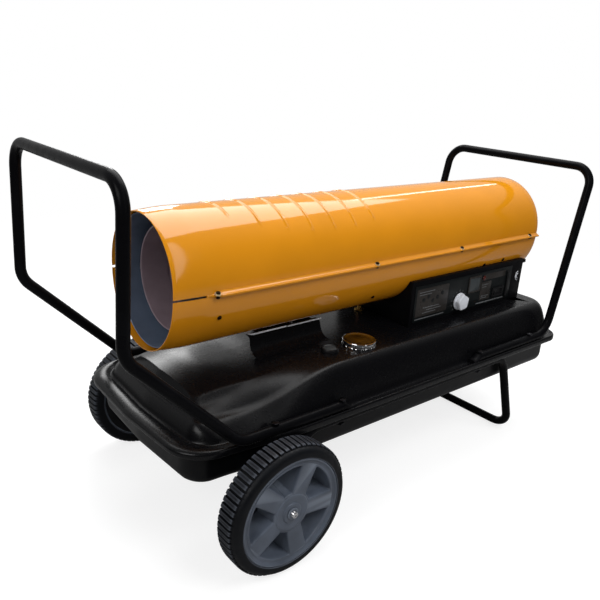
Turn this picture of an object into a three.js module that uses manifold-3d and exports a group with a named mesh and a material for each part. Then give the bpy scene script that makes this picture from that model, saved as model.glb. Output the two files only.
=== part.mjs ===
// Forced-air poultry heater: an oil burner in a long round housing, carried by a wheeled fuel tank.
// Millimetres, +Z up. X runs along the heater, with the warm-air outlet at -X. The control panel faces -Y.
// The origin is on the floor, under the middle of the overall length and width.
import * as THREE from 'three';
import { mergeVertices } from 'three/addons/utils/BufferGeometryUtils.js';
import Module from 'manifold-3d';

// Driving dimensions
const overallLength = 1242;
const fit = 0.3; // gap between pieces that touch
const running = 0.08; // radial clearance of a shaft that turns in its bore
const overrun = 6; // how far a cutter runs past the face it cuts
const sheet = 1.5; // thickness of the pressed steel sheet

const wheel = {
  radius: 125, width: 50, overhang: 64, tread: 4, shoulder: 3, sidewall: 119, lugs: 66,
  rimRadius: 103, rimWall: 11, rimInset: 2, spokes: 5, spokeWidth: 32, spokeDepth: 20, spokeInset: 9, web: 3,
  hubRadius: 20, bossRadius: 36, axleRadius: 6, setback: 275, capRadius: 11, capHeight: 8,
};
const tank = {
  frontInset: 106, rearInset: 33, halfWidth: 226, noseTaper: 16, noseLength: 130, noseBow: 7,
  frontCorner: 75, rearCorner: 45, axleDrop: 30, lowerDepth: 80, upperHeight: 79,
  flangeWidth: 20, shoulderInset: 63, wallInset: 25, bottomEdge: 28, lip: 9, rampStart: 135, levelAhead: 12,
  noseRise: 29, topInset: 108, topRise: 42, topLevelAhead: 37,
};
const shell = {
  radius: 118.5, rise: 10.5, depth: 126, lift: 37, length: 1048, frontInset: 143,
  flange: 9, flangeStart: 70, slit: 1.5,
};
const rib = { count: 7, pitch: 55, first: 137, width: 15, height: 2.5, bevel: 2 };
const tube = { radius: 10, wall: 1.5, inset: 13 };
const frontHandle = { height: 448, kneeHeight: 199, lean: 7, kneeRelief: 0.64, run: 261, slope: 203, bend: 50, corner: 45 };
const rearHandle = { height: 412, lean: 80, leanRelief: 0.33, run: 304, bend: 50, corner: 45 };
const frame = { legSlope: 78, legReach: 205, railStart: 96, footBend: 45, footFlat: 0.3, tailBend: 50, pastAxle: 12 };
const bolt = { radius: 4, head: 7.5, headHeight: 4, frontInset: 74, rearInset: 28 };
const chamber = { radius: 95, wall: 1.5, recess: 48, throat: 46, strap: 12, strapInset: 30 };
const liner = { gap: 6.5, wall: 1.2, recess: 12, length: 406, standoff: 4 };
const baffle = { radius: 60, thickness: 1.5, setback: 150, leg: 8 };
const burner = { plate: 2, flange: 54, cup: 24, bore: 8, nozzle: 58, electrode: 1.5, electrodeRise: 22 };
const fan = { radius: 104, hub: 24, blades: 5, depth: 36, pitchDeg: 32, blade: 2, chord: 62, setback: 135 };
const motor = { radius: 46, length: 106, gap: 22, shaft: 5, bossRadius: 20, saddleHalf: 25, saddle: 50 };
const pump = { radius: 38, length: 36, coverRadius: 44, coverLength: 34, inset: 50, shaftEngaged: 24, vents: 8 };
const guard = { thickness: 3, inset: 6, rings: 5, bar: 4.5, spokes: 4, hub: 14, rim: 7 };
const support = { start: 208, length: 181, halfWidth: 42 };
const box = { inset: 34, length: 426, halfWidth: 115, height: 104, gap: 0.5 };
const panel = { inset: 10, endInset: 48, thickness: 1.5, bottom: 8, top: 12, frame: 14 };
const knob = { radius: 22, depth: 14, x: 170, z: 33, spindle: 3, sides: 10, body: 30, bodyDepth: 22, stand: 1.5 };
const display = { x: 224, z: 66, width: 44, height: 37, thickness: 1.5, lip: 3 };
const rocker = { x: 324, z: 32, width: 40, height: 20, rim: 3, depth: 22, throwDeg: 12, tipShare: 0.92 };
const lamp = { x: 261, z: 76, radius: 4.5, length: 16 };
const board = { x: 250, width: 100, depth: 70, thickness: 1.6, foot: 6, footRadius: 3 };
const transformer = { x: 60, width: 62, depth: 52, height: 26 };
const gland = { radius: 7, flange: 11, length: 26, rise: 30, y: 60 };
const filler = { ahead: 163, inset: 101, radius: 25, wall: 1.5, height: 6, brim: 4 };
const cap = { radius: 36, height: 10, roof: 2, wall: 2.5, seal: 1.8 };
const gauge = { ahead: 238, inset: 108, radius: 18, height: 9, stem: 9, stemLength: 34 };
const pickup = { ahead: 16, y: 25, radius: 6, flange: 12, plate: 3, clearance: 12, spigot: 10 };
const drain = { x: 108, radius: 6, head: 11, headHeight: 7 };
const line = { radius: 3.5, bend: 14, clearance: 12, fuelInlet: 26, airInlet: 46, airSide: 34 };

// Shares: hand-chosen proportions, not lengths
const crownShares = [[0.06, 0.04], [0.26, 0.42], [0.48, 0.74], [0.7, 0.92], [1, 1]];
const ribReachDegShares = [26, 39, 46, 51, 52, 52, 48];
const sideStationShares = [0.05, 0.1, 0.16, 0.22, 0.28, 0.33, 0.55, 0.85];
const rampEaseShare = 0.35;
const lugTopShare = 0.62;
const spokePhaseDeg = 67; // from +X towards +Z
const minCornerShare = 0.25;
const spokeTaperShare = 0.86;
const grommetShare = 1.6;

// Heights, from the floor up
const axleZ = wheel.radius;
const tankBottomZ = axleZ + tank.axleDrop;
const partingZ = tankBottomZ + tank.lowerDepth;
const crownZ = partingZ + tank.upperHeight;
const shellBottomZ = crownZ + shell.lift;
const seamZ = shellBottomZ + shell.depth;
const shellAxisZ = seamZ + shell.rise;
const shellTopZ = shellAxisZ + shell.radius;
const burnerZ = (shellTopZ + shellBottomZ) / 2;
const upperFlangeZ = partingZ + fit / 2;
const lowerFlangeZ = partingZ - fit / 2;
const runZ = upperFlangeZ + sheet + fit + tube.radius;
const railZ = lowerFlangeZ - sheet - fit - tube.radius;

// Places along the heater
const halfLength = overallLength / 2;
const tankFront = -halfLength + tank.frontInset;
const tankRear = halfLength - tank.rearInset;
const shellFront = -halfLength + shell.frontInset;
const shellRear = shellFront + shell.length;
const axleX = -halfLength + wheel.setback;
const chamberFront = shellFront + chamber.recess;
const coverFront = shellRear - pump.inset - pump.coverLength;
const pumpRear = coverFront - fit;
const pumpFront = pumpRear - pump.length;
const motorRear = pumpFront - fit;
const motorFront = motorRear - motor.length;
const fanX = motorFront - motor.gap - fan.depth;
const chamberRear = fanX - fan.setback;
const boxRear = shellRear - box.inset;
const boxFront = boxRear - box.length;
const boxBottomZ = crownZ + fit;
const fillerX = boxFront - filler.ahead;
const gaugeX = boxFront - gauge.ahead;
const pickupX = boxFront - pickup.ahead;
const rampFront = tankFront + tank.rampStart;
const rampRear = gaugeX - tank.levelAhead;
const topFront = tankFront + tank.topInset;
const topRear = gaugeX - tank.topLevelAhead;
const faceY = -box.halfWidth;
const fillerY = filler.inset - tank.halfWidth;
const gaugeY = gauge.inset - tank.halfWidth;
const track = tank.halfWidth - tube.inset;
const outerFace = tank.halfWidth + wheel.overhang;
const panelY = faceY - fit - panel.thickness;

const wasm = await Module();
wasm.setup();

// Turns a closed geometry into a solid with its faces pointing out
function solid(geometry) {
  const bare = geometry.clone();
  bare.deleteAttribute('normal');
  bare.deleteAttribute('uv');
  const merged = mergeVertices(bare);
  const vertProperties = new Float32Array(merged.attributes.position.array);
  const triVerts = new Uint32Array(merged.index.array);
  let volume = 0;
  const corner = (i) => new THREE.Vector3().fromArray(vertProperties, 3 * triVerts[i]);
  for (let i = 0; i < triVerts.length; i += 3) {
    volume += corner(i).dot(corner(i + 1).cross(corner(i + 2)));
  }
  if (volume < 0) {
    for (let i = 0; i < triVerts.length; i += 3) {
      [triVerts[i + 1], triVerts[i + 2]] = [triVerts[i + 2], triVerts[i + 1]];
    }
  }
  return new wasm.Manifold(new wasm.Mesh({ numProp: 3, vertProperties, triVerts }));
}

function geometryOf(body) {
  const mesh = body.getMesh();
  const geometry = new THREE.BufferGeometry();
  geometry.setAttribute('position', new THREE.Float32BufferAttribute(mesh.vertProperties, 3));
  geometry.setIndex(Array.from(mesh.triVerts));
  geometry.computeVertexNormals();
  return geometry;
}

const heater = new THREE.Group();

function add(name, body, material) {
  const mesh = new THREE.Mesh(geometryOf(body), material);
  mesh.name = name;
  heater.add(mesh);
}

function finish(color, roughness, metalness) {
  return new THREE.MeshStandardMaterial({ color, roughness, metalness });
}

const yellowPaint = finish(0xd08f22, 0.3, 0.1);
const blackPaint = finish(0x121315, 0.35, 0.1);
const galvanised = finish(0x7a7c84, 0.45, 0.9);
const heatSteel = finish(0x6a6470, 0.45, 0.9);
const brightSteel = finish(0xb5b8bc, 0.3, 0.9);
const chromePlate = finish(0xd8dadc, 0.1, 1);
const brass = finish(0xb58a3c, 0.35, 0.9);
const copper = finish(0xb06a44, 0.35, 0.9);
const castAluminium = finish(0xa4a7aa, 0.5, 0.8);
const tyreRubber = finish(0x17181a, 0.85, 0);
const rimPlastic = finish(0x5c616b, 0.5, 0);
const blackPlastic = finish(0x17181b, 0.5, 0);
const panelPlastic = finish(0x222528, 0.45, 0);
const paleKnob = finish(0xc6c9cc, 0.5, 0);
const windowPlastic = finish(0x565b60, 0.2, 0);
const redLens = finish(0x9c2018, 0.2, 0);
const greenBoard = finish(0x1f5a34, 0.5, 0);
const ceramic = finish(0xe4e0d4, 0.5, 0);
const sealRubber = finish(0x1c1c1c, 0.8, 0);

// Geometry with its own X, Y, Z axes turned onto three of the heater's axes, and moved
function turned(geometry, xAxis, yAxis, zAxis, place) {
  geometry.applyMatrix4(new THREE.Matrix4().makeBasis(xAxis, yAxis, zAxis).setPosition(place));
  return solid(geometry);
}

const axisX = new THREE.Vector3(1, 0, 0);
const axisY = new THREE.Vector3(0, 1, 0);
const axisZ = new THREE.Vector3(0, 0, 1);
const at = (x, y, z) => new THREE.Vector3(x, y, z);
const backwards = (v) => v.clone().negate();

// A shape drawn in Y and Z, drawn out along X
function alongX(shape, x0, x1, curveSegments = 12) {
  const geometry = new THREE.ExtrudeGeometry(shape, { depth: x1 - x0, bevelEnabled: false, curveSegments });
  return turned(geometry, axisY, axisZ, axisX, at(x0, 0, 0));
}

// A shape drawn in X and Z, drawn out along Y
function alongY(shape, y0, y1, curveSegments = 12) {
  const geometry = new THREE.ExtrudeGeometry(shape, { depth: y1 - y0, bevelEnabled: false, curveSegments });
  return turned(geometry, axisX, axisZ, backwards(axisY), at(0, y1, 0));
}

// A shape drawn in X and Y, drawn out along Z
function alongZ(shape, z0, z1, curveSegments = 12) {
  const geometry = new THREE.ExtrudeGeometry(shape, { depth: z1 - z0, bevelEnabled: false, curveSegments });
  return turned(geometry, axisX, axisY, axisZ, at(0, 0, z0));
}

function block(x0, x1, y0, y1, z0, z1) {
  const geometry = new THREE.BoxGeometry(x1 - x0, y1 - y0, z1 - z0);
  return turned(geometry, axisX, axisY, axisZ, at((x0 + x1) / 2, (y0 + y1) / 2, (z0 + z1) / 2));
}

// Round bars along each axis; a CylinderGeometry stands along its own Y
function barX(radius, x0, x1, y, z, sides = 16) {
  const geometry = new THREE.CylinderGeometry(radius, radius, x1 - x0, sides);
  return turned(geometry, axisZ, axisX, axisY, at((x0 + x1) / 2, y, z));
}

function barY(radius, y0, y1, x, z, sides = 16) {
  const geometry = new THREE.CylinderGeometry(radius, radius, y1 - y0, sides);
  return turned(geometry, axisX, axisY, axisZ, at(x, (y0 + y1) / 2, z));
}

function barZ(radius, z0, z1, x, y, sides = 16) {
  const geometry = new THREE.CylinderGeometry(radius, radius, z1 - z0, sides);
  return turned(geometry, axisY, axisZ, axisX, at(x, y, (z0 + z1) / 2));
}

// Radius at the corners of a bore whose flats clear a turning shaft
function boreRadius(shaftRadius, sides) {
  return (shaftRadius + running) / Math.cos(Math.PI / sides);
}

// Turned pieces: the profile lists radius and distance along the axis
function latheX(profile, x, y, z, sides = 24) {
  const points = profile.map(([r, along]) => new THREE.Vector2(r, along));
  return turned(new THREE.LatheGeometry(points, sides), axisZ, axisX, axisY, at(x, y, z));
}

function latheZ(profile, x, y, z, sides = 24) {
  const points = profile.map(([r, along]) => new THREE.Vector2(r, along));
  return turned(new THREE.LatheGeometry(points, sides), axisY, axisZ, axisX, at(x, y, z));
}

function union(bodies) {
  return bodies.reduce((sum, body) => sum.add(body));
}

function shapeOf(points) {
  return new THREE.Shape(points.map(([u, v]) => new THREE.Vector2(u, v)));
}

function ring(points) {
  return points.map(([u, v]) => new THREE.Vector2(u, v));
}

// Bent tube: a path through stations, whose tangent at each station lies between its two runs
class StationCurve extends THREE.Curve {
  constructor(stations) {
    super();
    this.stations = stations;
  }

  index(u) {
    return Math.round(u * (this.stations.length - 1));
  }

  getPoint(u, target = new THREE.Vector3()) {
    return target.copy(this.stations[this.index(u)]);
  }

  getPointAt(u, target) {
    return this.getPoint(u, target);
  }

  getTangentAt(u, target = new THREE.Vector3()) {
    const i = this.index(u);
    const last = this.stations.length - 1;
    const here = this.stations[i];
    target.set(0, 0, 0);
    if (i > 0) target.add(here.clone().sub(this.stations[i - 1]).normalize());
    if (i < last) target.add(this.stations[i + 1].clone().sub(here).normalize());
    return target.normalize();
  }
}

// Corners rounded to their bend radius, in a few straight steps
function bentStations(corners) {
  const stations = [corners[0].point];
  for (let i = 1; i < corners.length - 1; i += 1) {
    const { point, bend } = corners[i];
    const inward = point.clone().sub(corners[i - 1].point).normalize();
    const outward = corners[i + 1].point.clone().sub(point).normalize();
    const angle = inward.angleTo(outward);
    const across = outward.clone().addScaledVector(inward, -outward.dot(inward)).normalize();
    const start = point.clone().addScaledVector(inward, -bend * Math.tan(angle / 2));
    const centre = start.clone().addScaledVector(across, bend);
    const steps = Math.max(2, Math.ceil(angle / (Math.PI / 7)));
    for (let k = 0; k <= steps; k += 1) {
      const turn = (angle * k) / steps;
      const spot = centre.clone();
      spot.addScaledVector(across, -bend * Math.cos(turn)).addScaledVector(inward, bend * Math.sin(turn));
      stations.push(spot);
    }
  }
  stations.push(corners[corners.length - 1].point);
  return stations;
}

function circlePoints(radius, sides, phase = 0) {
  const points = [];
  for (let i = 0; i < sides; i += 1) {
    const a = (2 * Math.PI * (i + phase)) / sides;
    points.push([radius * Math.cos(a), radius * Math.sin(a)]);
  }
  return points;
}

function bentTube(corners, radius, boreRadius, sides, boreSides) {
  const stations = bentStations(corners.map(([x, y, z, bend = 0]) => ({ point: at(x, y, z), bend })));
  const corner = radius / Math.cos(Math.PI / sides);
  const section = shapeOf(circlePoints(corner, sides, 0.5));
  if (boreRadius > 0) section.holes.push(new THREE.Path(ring(circlePoints(boreRadius, boreSides).reverse())));
  const extrudePath = new StationCurve(stations);
  const steps = stations.length - 1;
  return solid(new THREE.ExtrudeGeometry(section, { steps, extrudePath, bevelEnabled: false }));
}

// The same tube on both sides: the corners of one side, then the mirrored ones back again
function loopTube(corners) {
  const mirrored = corners.map(([x, y, z, bend]) => [x, -y, z, bend]).reverse();
  return bentTube([...corners, ...mirrored], tube.radius, tube.radius - tube.wall, 12, 6);
}

// Housing section in Y and Z: a round upper half and a deeper oval lower half, grown by an offset
function upperArc(offset, steps = 36) {
  const radius = shell.radius + offset;
  const start = -Math.asin(shell.rise / radius);
  const points = [];
  for (let i = 0; i <= steps; i += 1) {
    const a = start + ((Math.PI - 2 * start) * i) / steps;
    points.push([radius * Math.cos(a), shellAxisZ + radius * Math.sin(a)]);
  }
  return points;
}

function lowerArc(offset, steps = 36) {
  const radius = shell.radius + offset;
  const halfWidth = Math.sqrt(radius * radius - shell.rise * shell.rise);
  const points = [];
  for (let i = 0; i <= steps; i += 1) {
    const a = Math.PI + (Math.PI * i) / steps;
    points.push([halfWidth * Math.cos(a), seamZ + (shell.depth + offset) * Math.sin(a)]);
  }
  return points;
}

function housingOutline(offset, steps = 36) {
  return [...upperArc(offset, steps), ...lowerArc(offset, steps).slice(1, -1)];
}

function housingVolume(offset, x0, x1) {
  return alongX(shapeOf(housingOutline(offset)), x0, x1);
}

// Upper and lower housing: rolled sheet, each with a flange along both seams
const seamHalfWidth = Math.sqrt(shell.radius ** 2 - shell.rise ** 2);
const flangeFront = shellFront + shell.flangeStart;

function housingHalf(arc, side) {
  const outer = arc(0);
  const inner = arc(-sheet).reverse();
  const skin = alongX(shapeOf([...outer, ...inner]), shellFront, shellRear);
  const z0 = side > 0 ? seamZ + fit / 2 : seamZ - fit / 2 - sheet;
  const beyond = side > 0 ? -shell.radius : shell.radius;
  const cut = block(shellFront - overrun, shellRear + overrun, -2 * shell.radius, 2 * shell.radius,
    Math.min(seamZ + (side * fit) / 2, seamZ + beyond), Math.max(seamZ + (side * fit) / 2, seamZ + beyond));
  const flanges = [-1, 1].map((hand) => {
    const inside = hand * (seamHalfWidth - sheet);
    const outside = hand * (seamHalfWidth + shell.flange);
    return block(flangeFront, shellRear, Math.min(inside, outside), Math.max(inside, outside), z0, z0 + sheet);
  });
  const slits = [-1, 1].map((hand) => {
    const z = side > 0 ? seamZ : seamZ - shell.slit;
    return block(shellFront - overrun, flangeFront, Math.min(0, hand * 2 * shell.radius),
      Math.max(0, hand * 2 * shell.radius), z, z + shell.slit);
  });
  return union([skin, ...flanges]).subtract(union([cut, ...slits]));
}

// Pressed ribs over the crown of the upper housing
function crownRib(index) {
  const x = shellFront + rib.first + index * rib.pitch;
  const reach = THREE.MathUtils.degToRad(ribReachDegShares[index % ribReachDegShares.length]);
  const steps = 9;
  const arcAt = (radius) => {
    const points = [];
    for (let i = 0; i <= steps; i += 1) {
      const a = Math.PI / 2 - reach + (2 * reach * i) / steps;
      points.push([radius * Math.cos(a), shellAxisZ + radius * Math.sin(a)]);
    }
    return points;
  };
  const outline = [...arcAt(shell.radius + rib.height - rib.bevel), ...arcAt(shell.radius - sheet / 2).reverse()];
  const geometry = new THREE.ExtrudeGeometry(shapeOf(outline), {
    depth: rib.width - 2 * rib.bevel, bevelEnabled: true, bevelThickness: rib.bevel,
    bevelSize: rib.bevel, bevelOffset: 0, bevelSegments: 1,
  });
  const bead = turned(geometry, axisY, axisZ, axisX, at(x - rib.width / 2 + rib.bevel, 0, 0));
  return bead.subtract(housingVolume(-sheet / 2, x - rib.width, x + rib.width));
}

const ribs = [];
for (let i = 0; i < rib.count; i += 1) ribs.push(crownRib(i));
add('upper_shell', union([housingHalf(upperArc, 1), ...ribs]), yellowPaint);

const lineHole = barZ(line.radius * grommetShare, shellBottomZ - overrun, shellBottomZ + tank.axleDrop, pickupX, pickup.y);
add('lower_shell', housingHalf(lowerArc, -1).subtract(lineHole), yellowPaint);

// Heat liner: an inner sleeve stood off the housing by short studs
const linerFront = shellFront + liner.recess;
const linerRear = linerFront + liner.length;
const linerOffset = -sheet - liner.gap;
const linerShape = shapeOf(housingOutline(linerOffset, 20));
linerShape.holes.push(new THREE.Path(ring(housingOutline(linerOffset - liner.wall, 20).reverse())));
const sleeve = alongX(linerShape, linerFront, linerRear);
const studs = [];
for (const x of [linerFront + 3 * liner.standoff, linerRear - 3 * liner.standoff]) {
  const inner = shell.radius + linerOffset - liner.wall / 2;
  const outer = shell.radius - sheet - fit;
  studs.push(barZ(liner.standoff, shellAxisZ + inner, shellAxisZ + outer, x, 0, 10));
  studs.push(barZ(liner.standoff, seamZ - shell.depth + sheet + fit,
    seamZ - shell.depth - linerOffset + liner.wall / 2, x, 0, 10));
  studs.push(barY(liner.standoff, inner, outer, x, shellAxisZ, 10));
  studs.push(barY(liner.standoff, -outer, -inner, x, shellAxisZ, 10));
}
add('heat_liner', union([sleeve, ...studs]), galvanised);

// Combustion chamber: a round can with a throat plate behind and straps that hold it in the housing
const strapSpots = [
  [chamberFront + chamber.strapInset, linerOffset - liner.wall],
  [chamberRear - chamber.strapInset, -sheet],
];
const straps = [];
for (const [x, offset] of strapSpots) {
  const half = chamber.strap / 2;
  const inside = chamber.radius - chamber.wall / 2;
  const top = shellAxisZ + shell.radius + offset - fit;
  const bottom = seamZ - shell.depth - offset + fit;
  const side = Math.sqrt((shell.radius + offset) ** 2 - (shell.rise + half) ** 2) - fit;
  straps.push(block(x - half, x + half, -half, half, burnerZ + inside, top));
  straps.push(block(x - half, x + half, -half, half, bottom, burnerZ - inside));
  straps.push(block(x - half, x + half, inside, side, burnerZ - half / 2, burnerZ + half / 2));
  straps.push(block(x - half, x + half, -side, -inside, burnerZ - half / 2, burnerZ + half / 2));
}
const trimmedStraps = union(straps).intersect(union(strapSpots.map(([x, offset]) => (
  housingVolume(offset - fit, x - chamber.strap, x + chamber.strap)))));
const chamberLength = chamberRear - chamberFront;
const can = latheX([
  [chamber.radius - chamber.wall, 0], [chamber.radius, 0], [chamber.radius, chamberLength],
  [chamber.throat, chamberLength], [chamber.throat, chamberLength - burner.plate],
  [chamber.radius - chamber.wall, chamberLength - burner.plate], [chamber.radius - chamber.wall, 0],
], chamberFront, 0, burnerZ, 30);
add('combustion_chamber', can.add(trimmedStraps), heatSteel);

// Flame baffle: a dished disc on three legs inside the chamber
const baffleX = chamberFront + baffle.setback;
const baffleDisc = latheX([
  [0, 0], [baffle.radius / 2, 0], [baffle.radius, baffle.leg], [baffle.radius, baffle.leg + baffle.thickness],
  [baffle.radius / 2, baffle.thickness], [0, baffle.thickness],
], baffleX, 0, burnerZ, 18);
const baffleLegs = [0, 1, 2].map((i) => {
  const leg = block(baffleX + baffle.leg / 2, baffleX + baffle.leg + baffle.thickness, -baffle.leg / 2,
    baffle.leg / 2, baffle.radius - baffle.leg, chamber.radius - chamber.wall);
  return leg.rotate([(360 * i) / 3, 0, 0]).translate([0, 0, burnerZ]);
});
const chamberRoom = barX(chamber.radius - chamber.wall - fit, baffleX - overrun, baffleX + 4 * overrun, 0, burnerZ, 30);
add('outlet_baffle', union([baffleDisc, ...baffleLegs]).intersect(chamberRoom), heatSteel);

// Burner head: a flanged cup in the chamber's throat, with holes for the nozzle, electrodes and flame eye
const headX = chamberRear + fit;
const headCup = chamber.throat - fit;
const eyeRadius = 2 * burner.electrode + fit;
const headHoles = [
  barX(burner.bore + fit, headX - 2 * burner.cup, headX + burner.cup, 0, burnerZ, 12),
  barX(eyeRadius, headX - 2 * burner.cup, headX + burner.cup, 0, burnerZ - burner.electrodeRise, 12),
];
for (const hand of [-1, 1]) {
  headHoles.push(barX(burner.electrode + fit, headX - 2 * burner.cup, headX + burner.cup,
    hand * 3 * burner.electrode, burnerZ + burner.electrodeRise, 10));
}
const headBody = latheX([
  [0, 0], [headCup / 2, 0], [headCup, -burner.cup], [headCup - burner.plate, -burner.cup],
  [headCup / 2, -burner.plate], [0, -burner.plate],
], headX, 0, burnerZ, 20);
const headFlange = latheX([
  [0, -burner.plate], [headCup, -burner.plate], [headCup, 0], [burner.flange, 0], [burner.flange, burner.plate],
  [0, burner.plate],
], headX, 0, burnerZ, 20);
add('burner_head', headBody.add(headFlange).subtract(union(headHoles)), galvanised);

// Nozzle body, with its tip in the head and its fittings behind
const nozzleFront = headX - burner.cup / 2;
const nozzleRear = nozzleFront + burner.cup / 2 + burner.nozzle;
add('fuel_nozzle', latheX([
  [0, 0], [burner.bore / 2, 0], [burner.bore, burner.bore / 2], [burner.bore, nozzleRear - nozzleFront],
  [0, nozzleRear - nozzleFront],
], nozzleFront, 0, burnerZ, 12), brass);

// Igniter: a ceramic block with two electrodes that reach through the head
const headBack = headX + burner.plate;
const electrodeZ = burnerZ + burner.electrodeRise;
const electrodes = [-1, 1].map((hand) => barX(burner.electrode, headX - burner.cup, headBack + burner.cup / 2,
  hand * 3 * burner.electrode, electrodeZ, 8));
const igniterBlock = block(headBack + fit, headBack + burner.cup, -burner.bore, burner.bore,
  electrodeZ - 3 * burner.electrode, electrodeZ + burner.bore);
add('igniter', union([igniterBlock, ...electrodes]), ceramic);

add('flame_eye', latheX([
  [0, 0], [eyeRadius, 0], [eyeRadius + burner.electrode, burner.electrode],
  [eyeRadius + burner.electrode, burner.cup], [0, burner.cup],
], headBack + fit, 0, burnerZ - burner.electrodeRise, 12), blackPlastic);

// Fan: twisted blades on a hub
const fanMid = fanX + fan.depth / 2;
const fanHub = latheX([
  [0, 0], [fan.hub - overrun, 0], [fan.hub, overrun], [fan.hub, fan.depth], [0, fan.depth],
], fanX, 0, 0, 20);
const bladeShape = shapeOf([
  [fan.hub - overrun, -fan.chord / 5], [fan.radius * 0.93, -fan.chord / 2], [fan.radius, -fan.chord / 4],
  [fan.radius, fan.chord / 4], [fan.radius * 0.93, fan.chord / 2], [fan.hub - overrun, fan.chord / 5],
]);
const blades = [];
for (let i = 0; i < fan.blades; i += 1) {
  const blade = alongZ(bladeShape, -fan.blade / 2, fan.blade / 2).rotate([fan.pitchDeg, 0, 0]);
  const upright = blade.rotate([0, -90, 0]).rotate([(360 * i) / fan.blades, 0, 0]);
  blades.push(upright.translate([fanMid, 0, 0]));
}
const fanRoom = barX(fan.radius, fanX, fanX + fan.depth, 0, 0, 40);
const shaftHole = barX(motor.shaft + running, fanX - overrun, fanX + fan.depth + overrun, 0, 0);
const fanBody = union([fanHub, ...blades]).intersect(fanRoom).subtract(shaftHole).translate([0, 0, burnerZ]);
add('fan', fanBody, brightSteel);

const shaftEnd = motorRear + fit + pump.shaftEngaged;
add('motor_shaft', barX(motor.shaft, fanX, shaftEnd, 0, burnerZ), brightSteel);

// Motor on its saddle
const motorBore = boreRadius(motor.shaft, 20);
const motorCan = latheX([
  [motorBore, 0], [motor.bossRadius, 0], [motor.bossRadius, overrun], [motor.radius - overrun, overrun],
  [motor.radius, 2 * overrun], [motor.radius, motor.length - 2 * overrun],
  [motor.radius - overrun, motor.length - overrun], [motor.bossRadius, motor.length - overrun],
  [motor.bossRadius, motor.length], [motorBore, motor.length], [motorBore, 0],
], motorFront, 0, burnerZ, 20);
add('motor', motorCan, blackPaint);

const saddleX = motorFront + (motor.length - motor.saddle) / 2;
const saddleBlock = block(saddleX, saddleX + motor.saddle, -motor.saddleHalf, motor.saddleHalf, shellBottomZ, burnerZ);
const saddleHollow = block(saddleX + 2 * sheet, saddleX + motor.saddle - 2 * sheet, -motor.saddleHalf - overrun,
  motor.saddleHalf + overrun, shellBottomZ + shell.radius / 8, burnerZ - motor.radius - shell.radius / 8);
const motorRoom = barX(motor.radius + fit, saddleX - overrun, saddleX + motor.saddle + overrun, 0, burnerZ, 20);
add('motor_bracket', saddleBlock.intersect(housingVolume(-sheet - fit, saddleX, saddleX + motor.saddle))
  .subtract(saddleHollow).subtract(motorRoom), galvanised);

// Air pump and its filter cover behind the motor
const pumpBore = barX(boreRadius(motor.shaft, 20), pumpFront - overrun, shaftEnd + fit, 0, burnerZ, 20);
add('air_pump', barX(pump.radius, pumpFront, pumpRear, 0, burnerZ, 20).subtract(pumpBore), castAluminium);

const coverBody = latheX([
  [0, 0], [pump.coverRadius, 0], [pump.coverRadius, pump.coverLength - overrun],
  [pump.coverRadius - overrun, pump.coverLength], [0, pump.coverLength],
], coverFront, 0, burnerZ, 20);
const vents = [];
for (let i = 0; i < pump.vents; i += 1) {
  const slot = block(coverFront + pump.coverLength - overrun / 2, coverFront + pump.coverLength + overrun,
    -overrun / 4, overrun / 4, pump.coverRadius / 3, pump.coverRadius * 0.75);
  vents.push(slot.rotate([(360 * i) / pump.vents, 0, 0]).translate([0, 0, burnerZ]));
}
add('filter_cover', coverBody.subtract(union(vents)), blackPlastic);

// Rear guard: a plate with the housing's outline, cut into rings and spokes
const guardX = shellRear - guard.inset - guard.thickness;
const guardHoles = [];
const guardReach = shell.radius - sheet - fit - guard.rim;
const slotPitch = (guardReach - guard.hub) / guard.rings;
for (let k = 0; k < guard.rings; k += 1) {
  const outer = guardReach - k * slotPitch;
  const inner = outer - slotPitch + guard.bar;
  for (let j = 0; j < guard.spokes; j += 1) {
    const half = Math.PI / guard.spokes;
    const middle = 2 * half * (j + 0.5);
    const arcAt = (radius, sign) => {
      const reach = half - Math.asin(guard.bar / 2 / radius);
      const points = [];
      for (let i = 0; i <= 4; i += 1) {
        const a = middle + sign * reach * (i / 2 - 1);
        points.push([radius * Math.cos(a), burnerZ + radius * Math.sin(a)]);
      }
      return points;
    };
    const opening = shapeOf([...arcAt(outer, 1), ...arcAt(inner, -1)]);
    guardHoles.push(alongX(opening, guardX - overrun, guardX + guard.thickness + overrun));
  }
}
const guardPlate = alongX(shapeOf(housingOutline(-sheet - fit, 16)), guardX, guardX + guard.thickness);
add('rear_guard', guardPlate.subtract(union(guardHoles)), blackPaint);

// Fuel tank: two pressed halves whose flanges meet at the parting plane
function planHalf(inset) {
  const front = tankFront + inset;
  const rear = tankRear - inset;
  const side = tank.halfWidth - inset;
  const nose = tank.halfWidth - tank.noseTaper - inset;
  const frontCorner = Math.max(tank.frontCorner - inset, tank.frontCorner * minCornerShare);
  const rearCorner = Math.max(tank.rearCorner - inset, tank.rearCorner * minCornerShare);
  const steps = 4;
  const points = [[front, 0]];
  for (let i = 0; i <= steps; i += 1) {
    const a = (Math.PI / 2) * (i / steps);
    const x = front + tank.noseBow + frontCorner * (1 - Math.cos(a));
    points.push([x, nose - frontCorner * (1 - Math.sin(a))]);
  }
  const length = tankRear - tankFront;
  for (const share of sideStationShares) {
    const x = tankFront + tank.noseBow + tank.frontCorner + share * (length - 2 * tank.frontCorner);
    const widened = Math.min(1, (x - front - frontCorner) / tank.noseLength);
    points.push([x, nose + (side - nose) * widened]);
  }
  for (let i = 0; i <= steps; i += 1) {
    const a = (Math.PI / 2) * (i / steps);
    points.push([rear - rearCorner * (1 - Math.sin(a)), side - rearCorner * (1 - Math.cos(a))]);
  }
  points.push([rear, 0]);
  return points;
}

function eased(share) {
  const t = THREE.MathUtils.clamp(share, 0, 1);
  return t * t * (3 - 2 * t);
}

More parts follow.
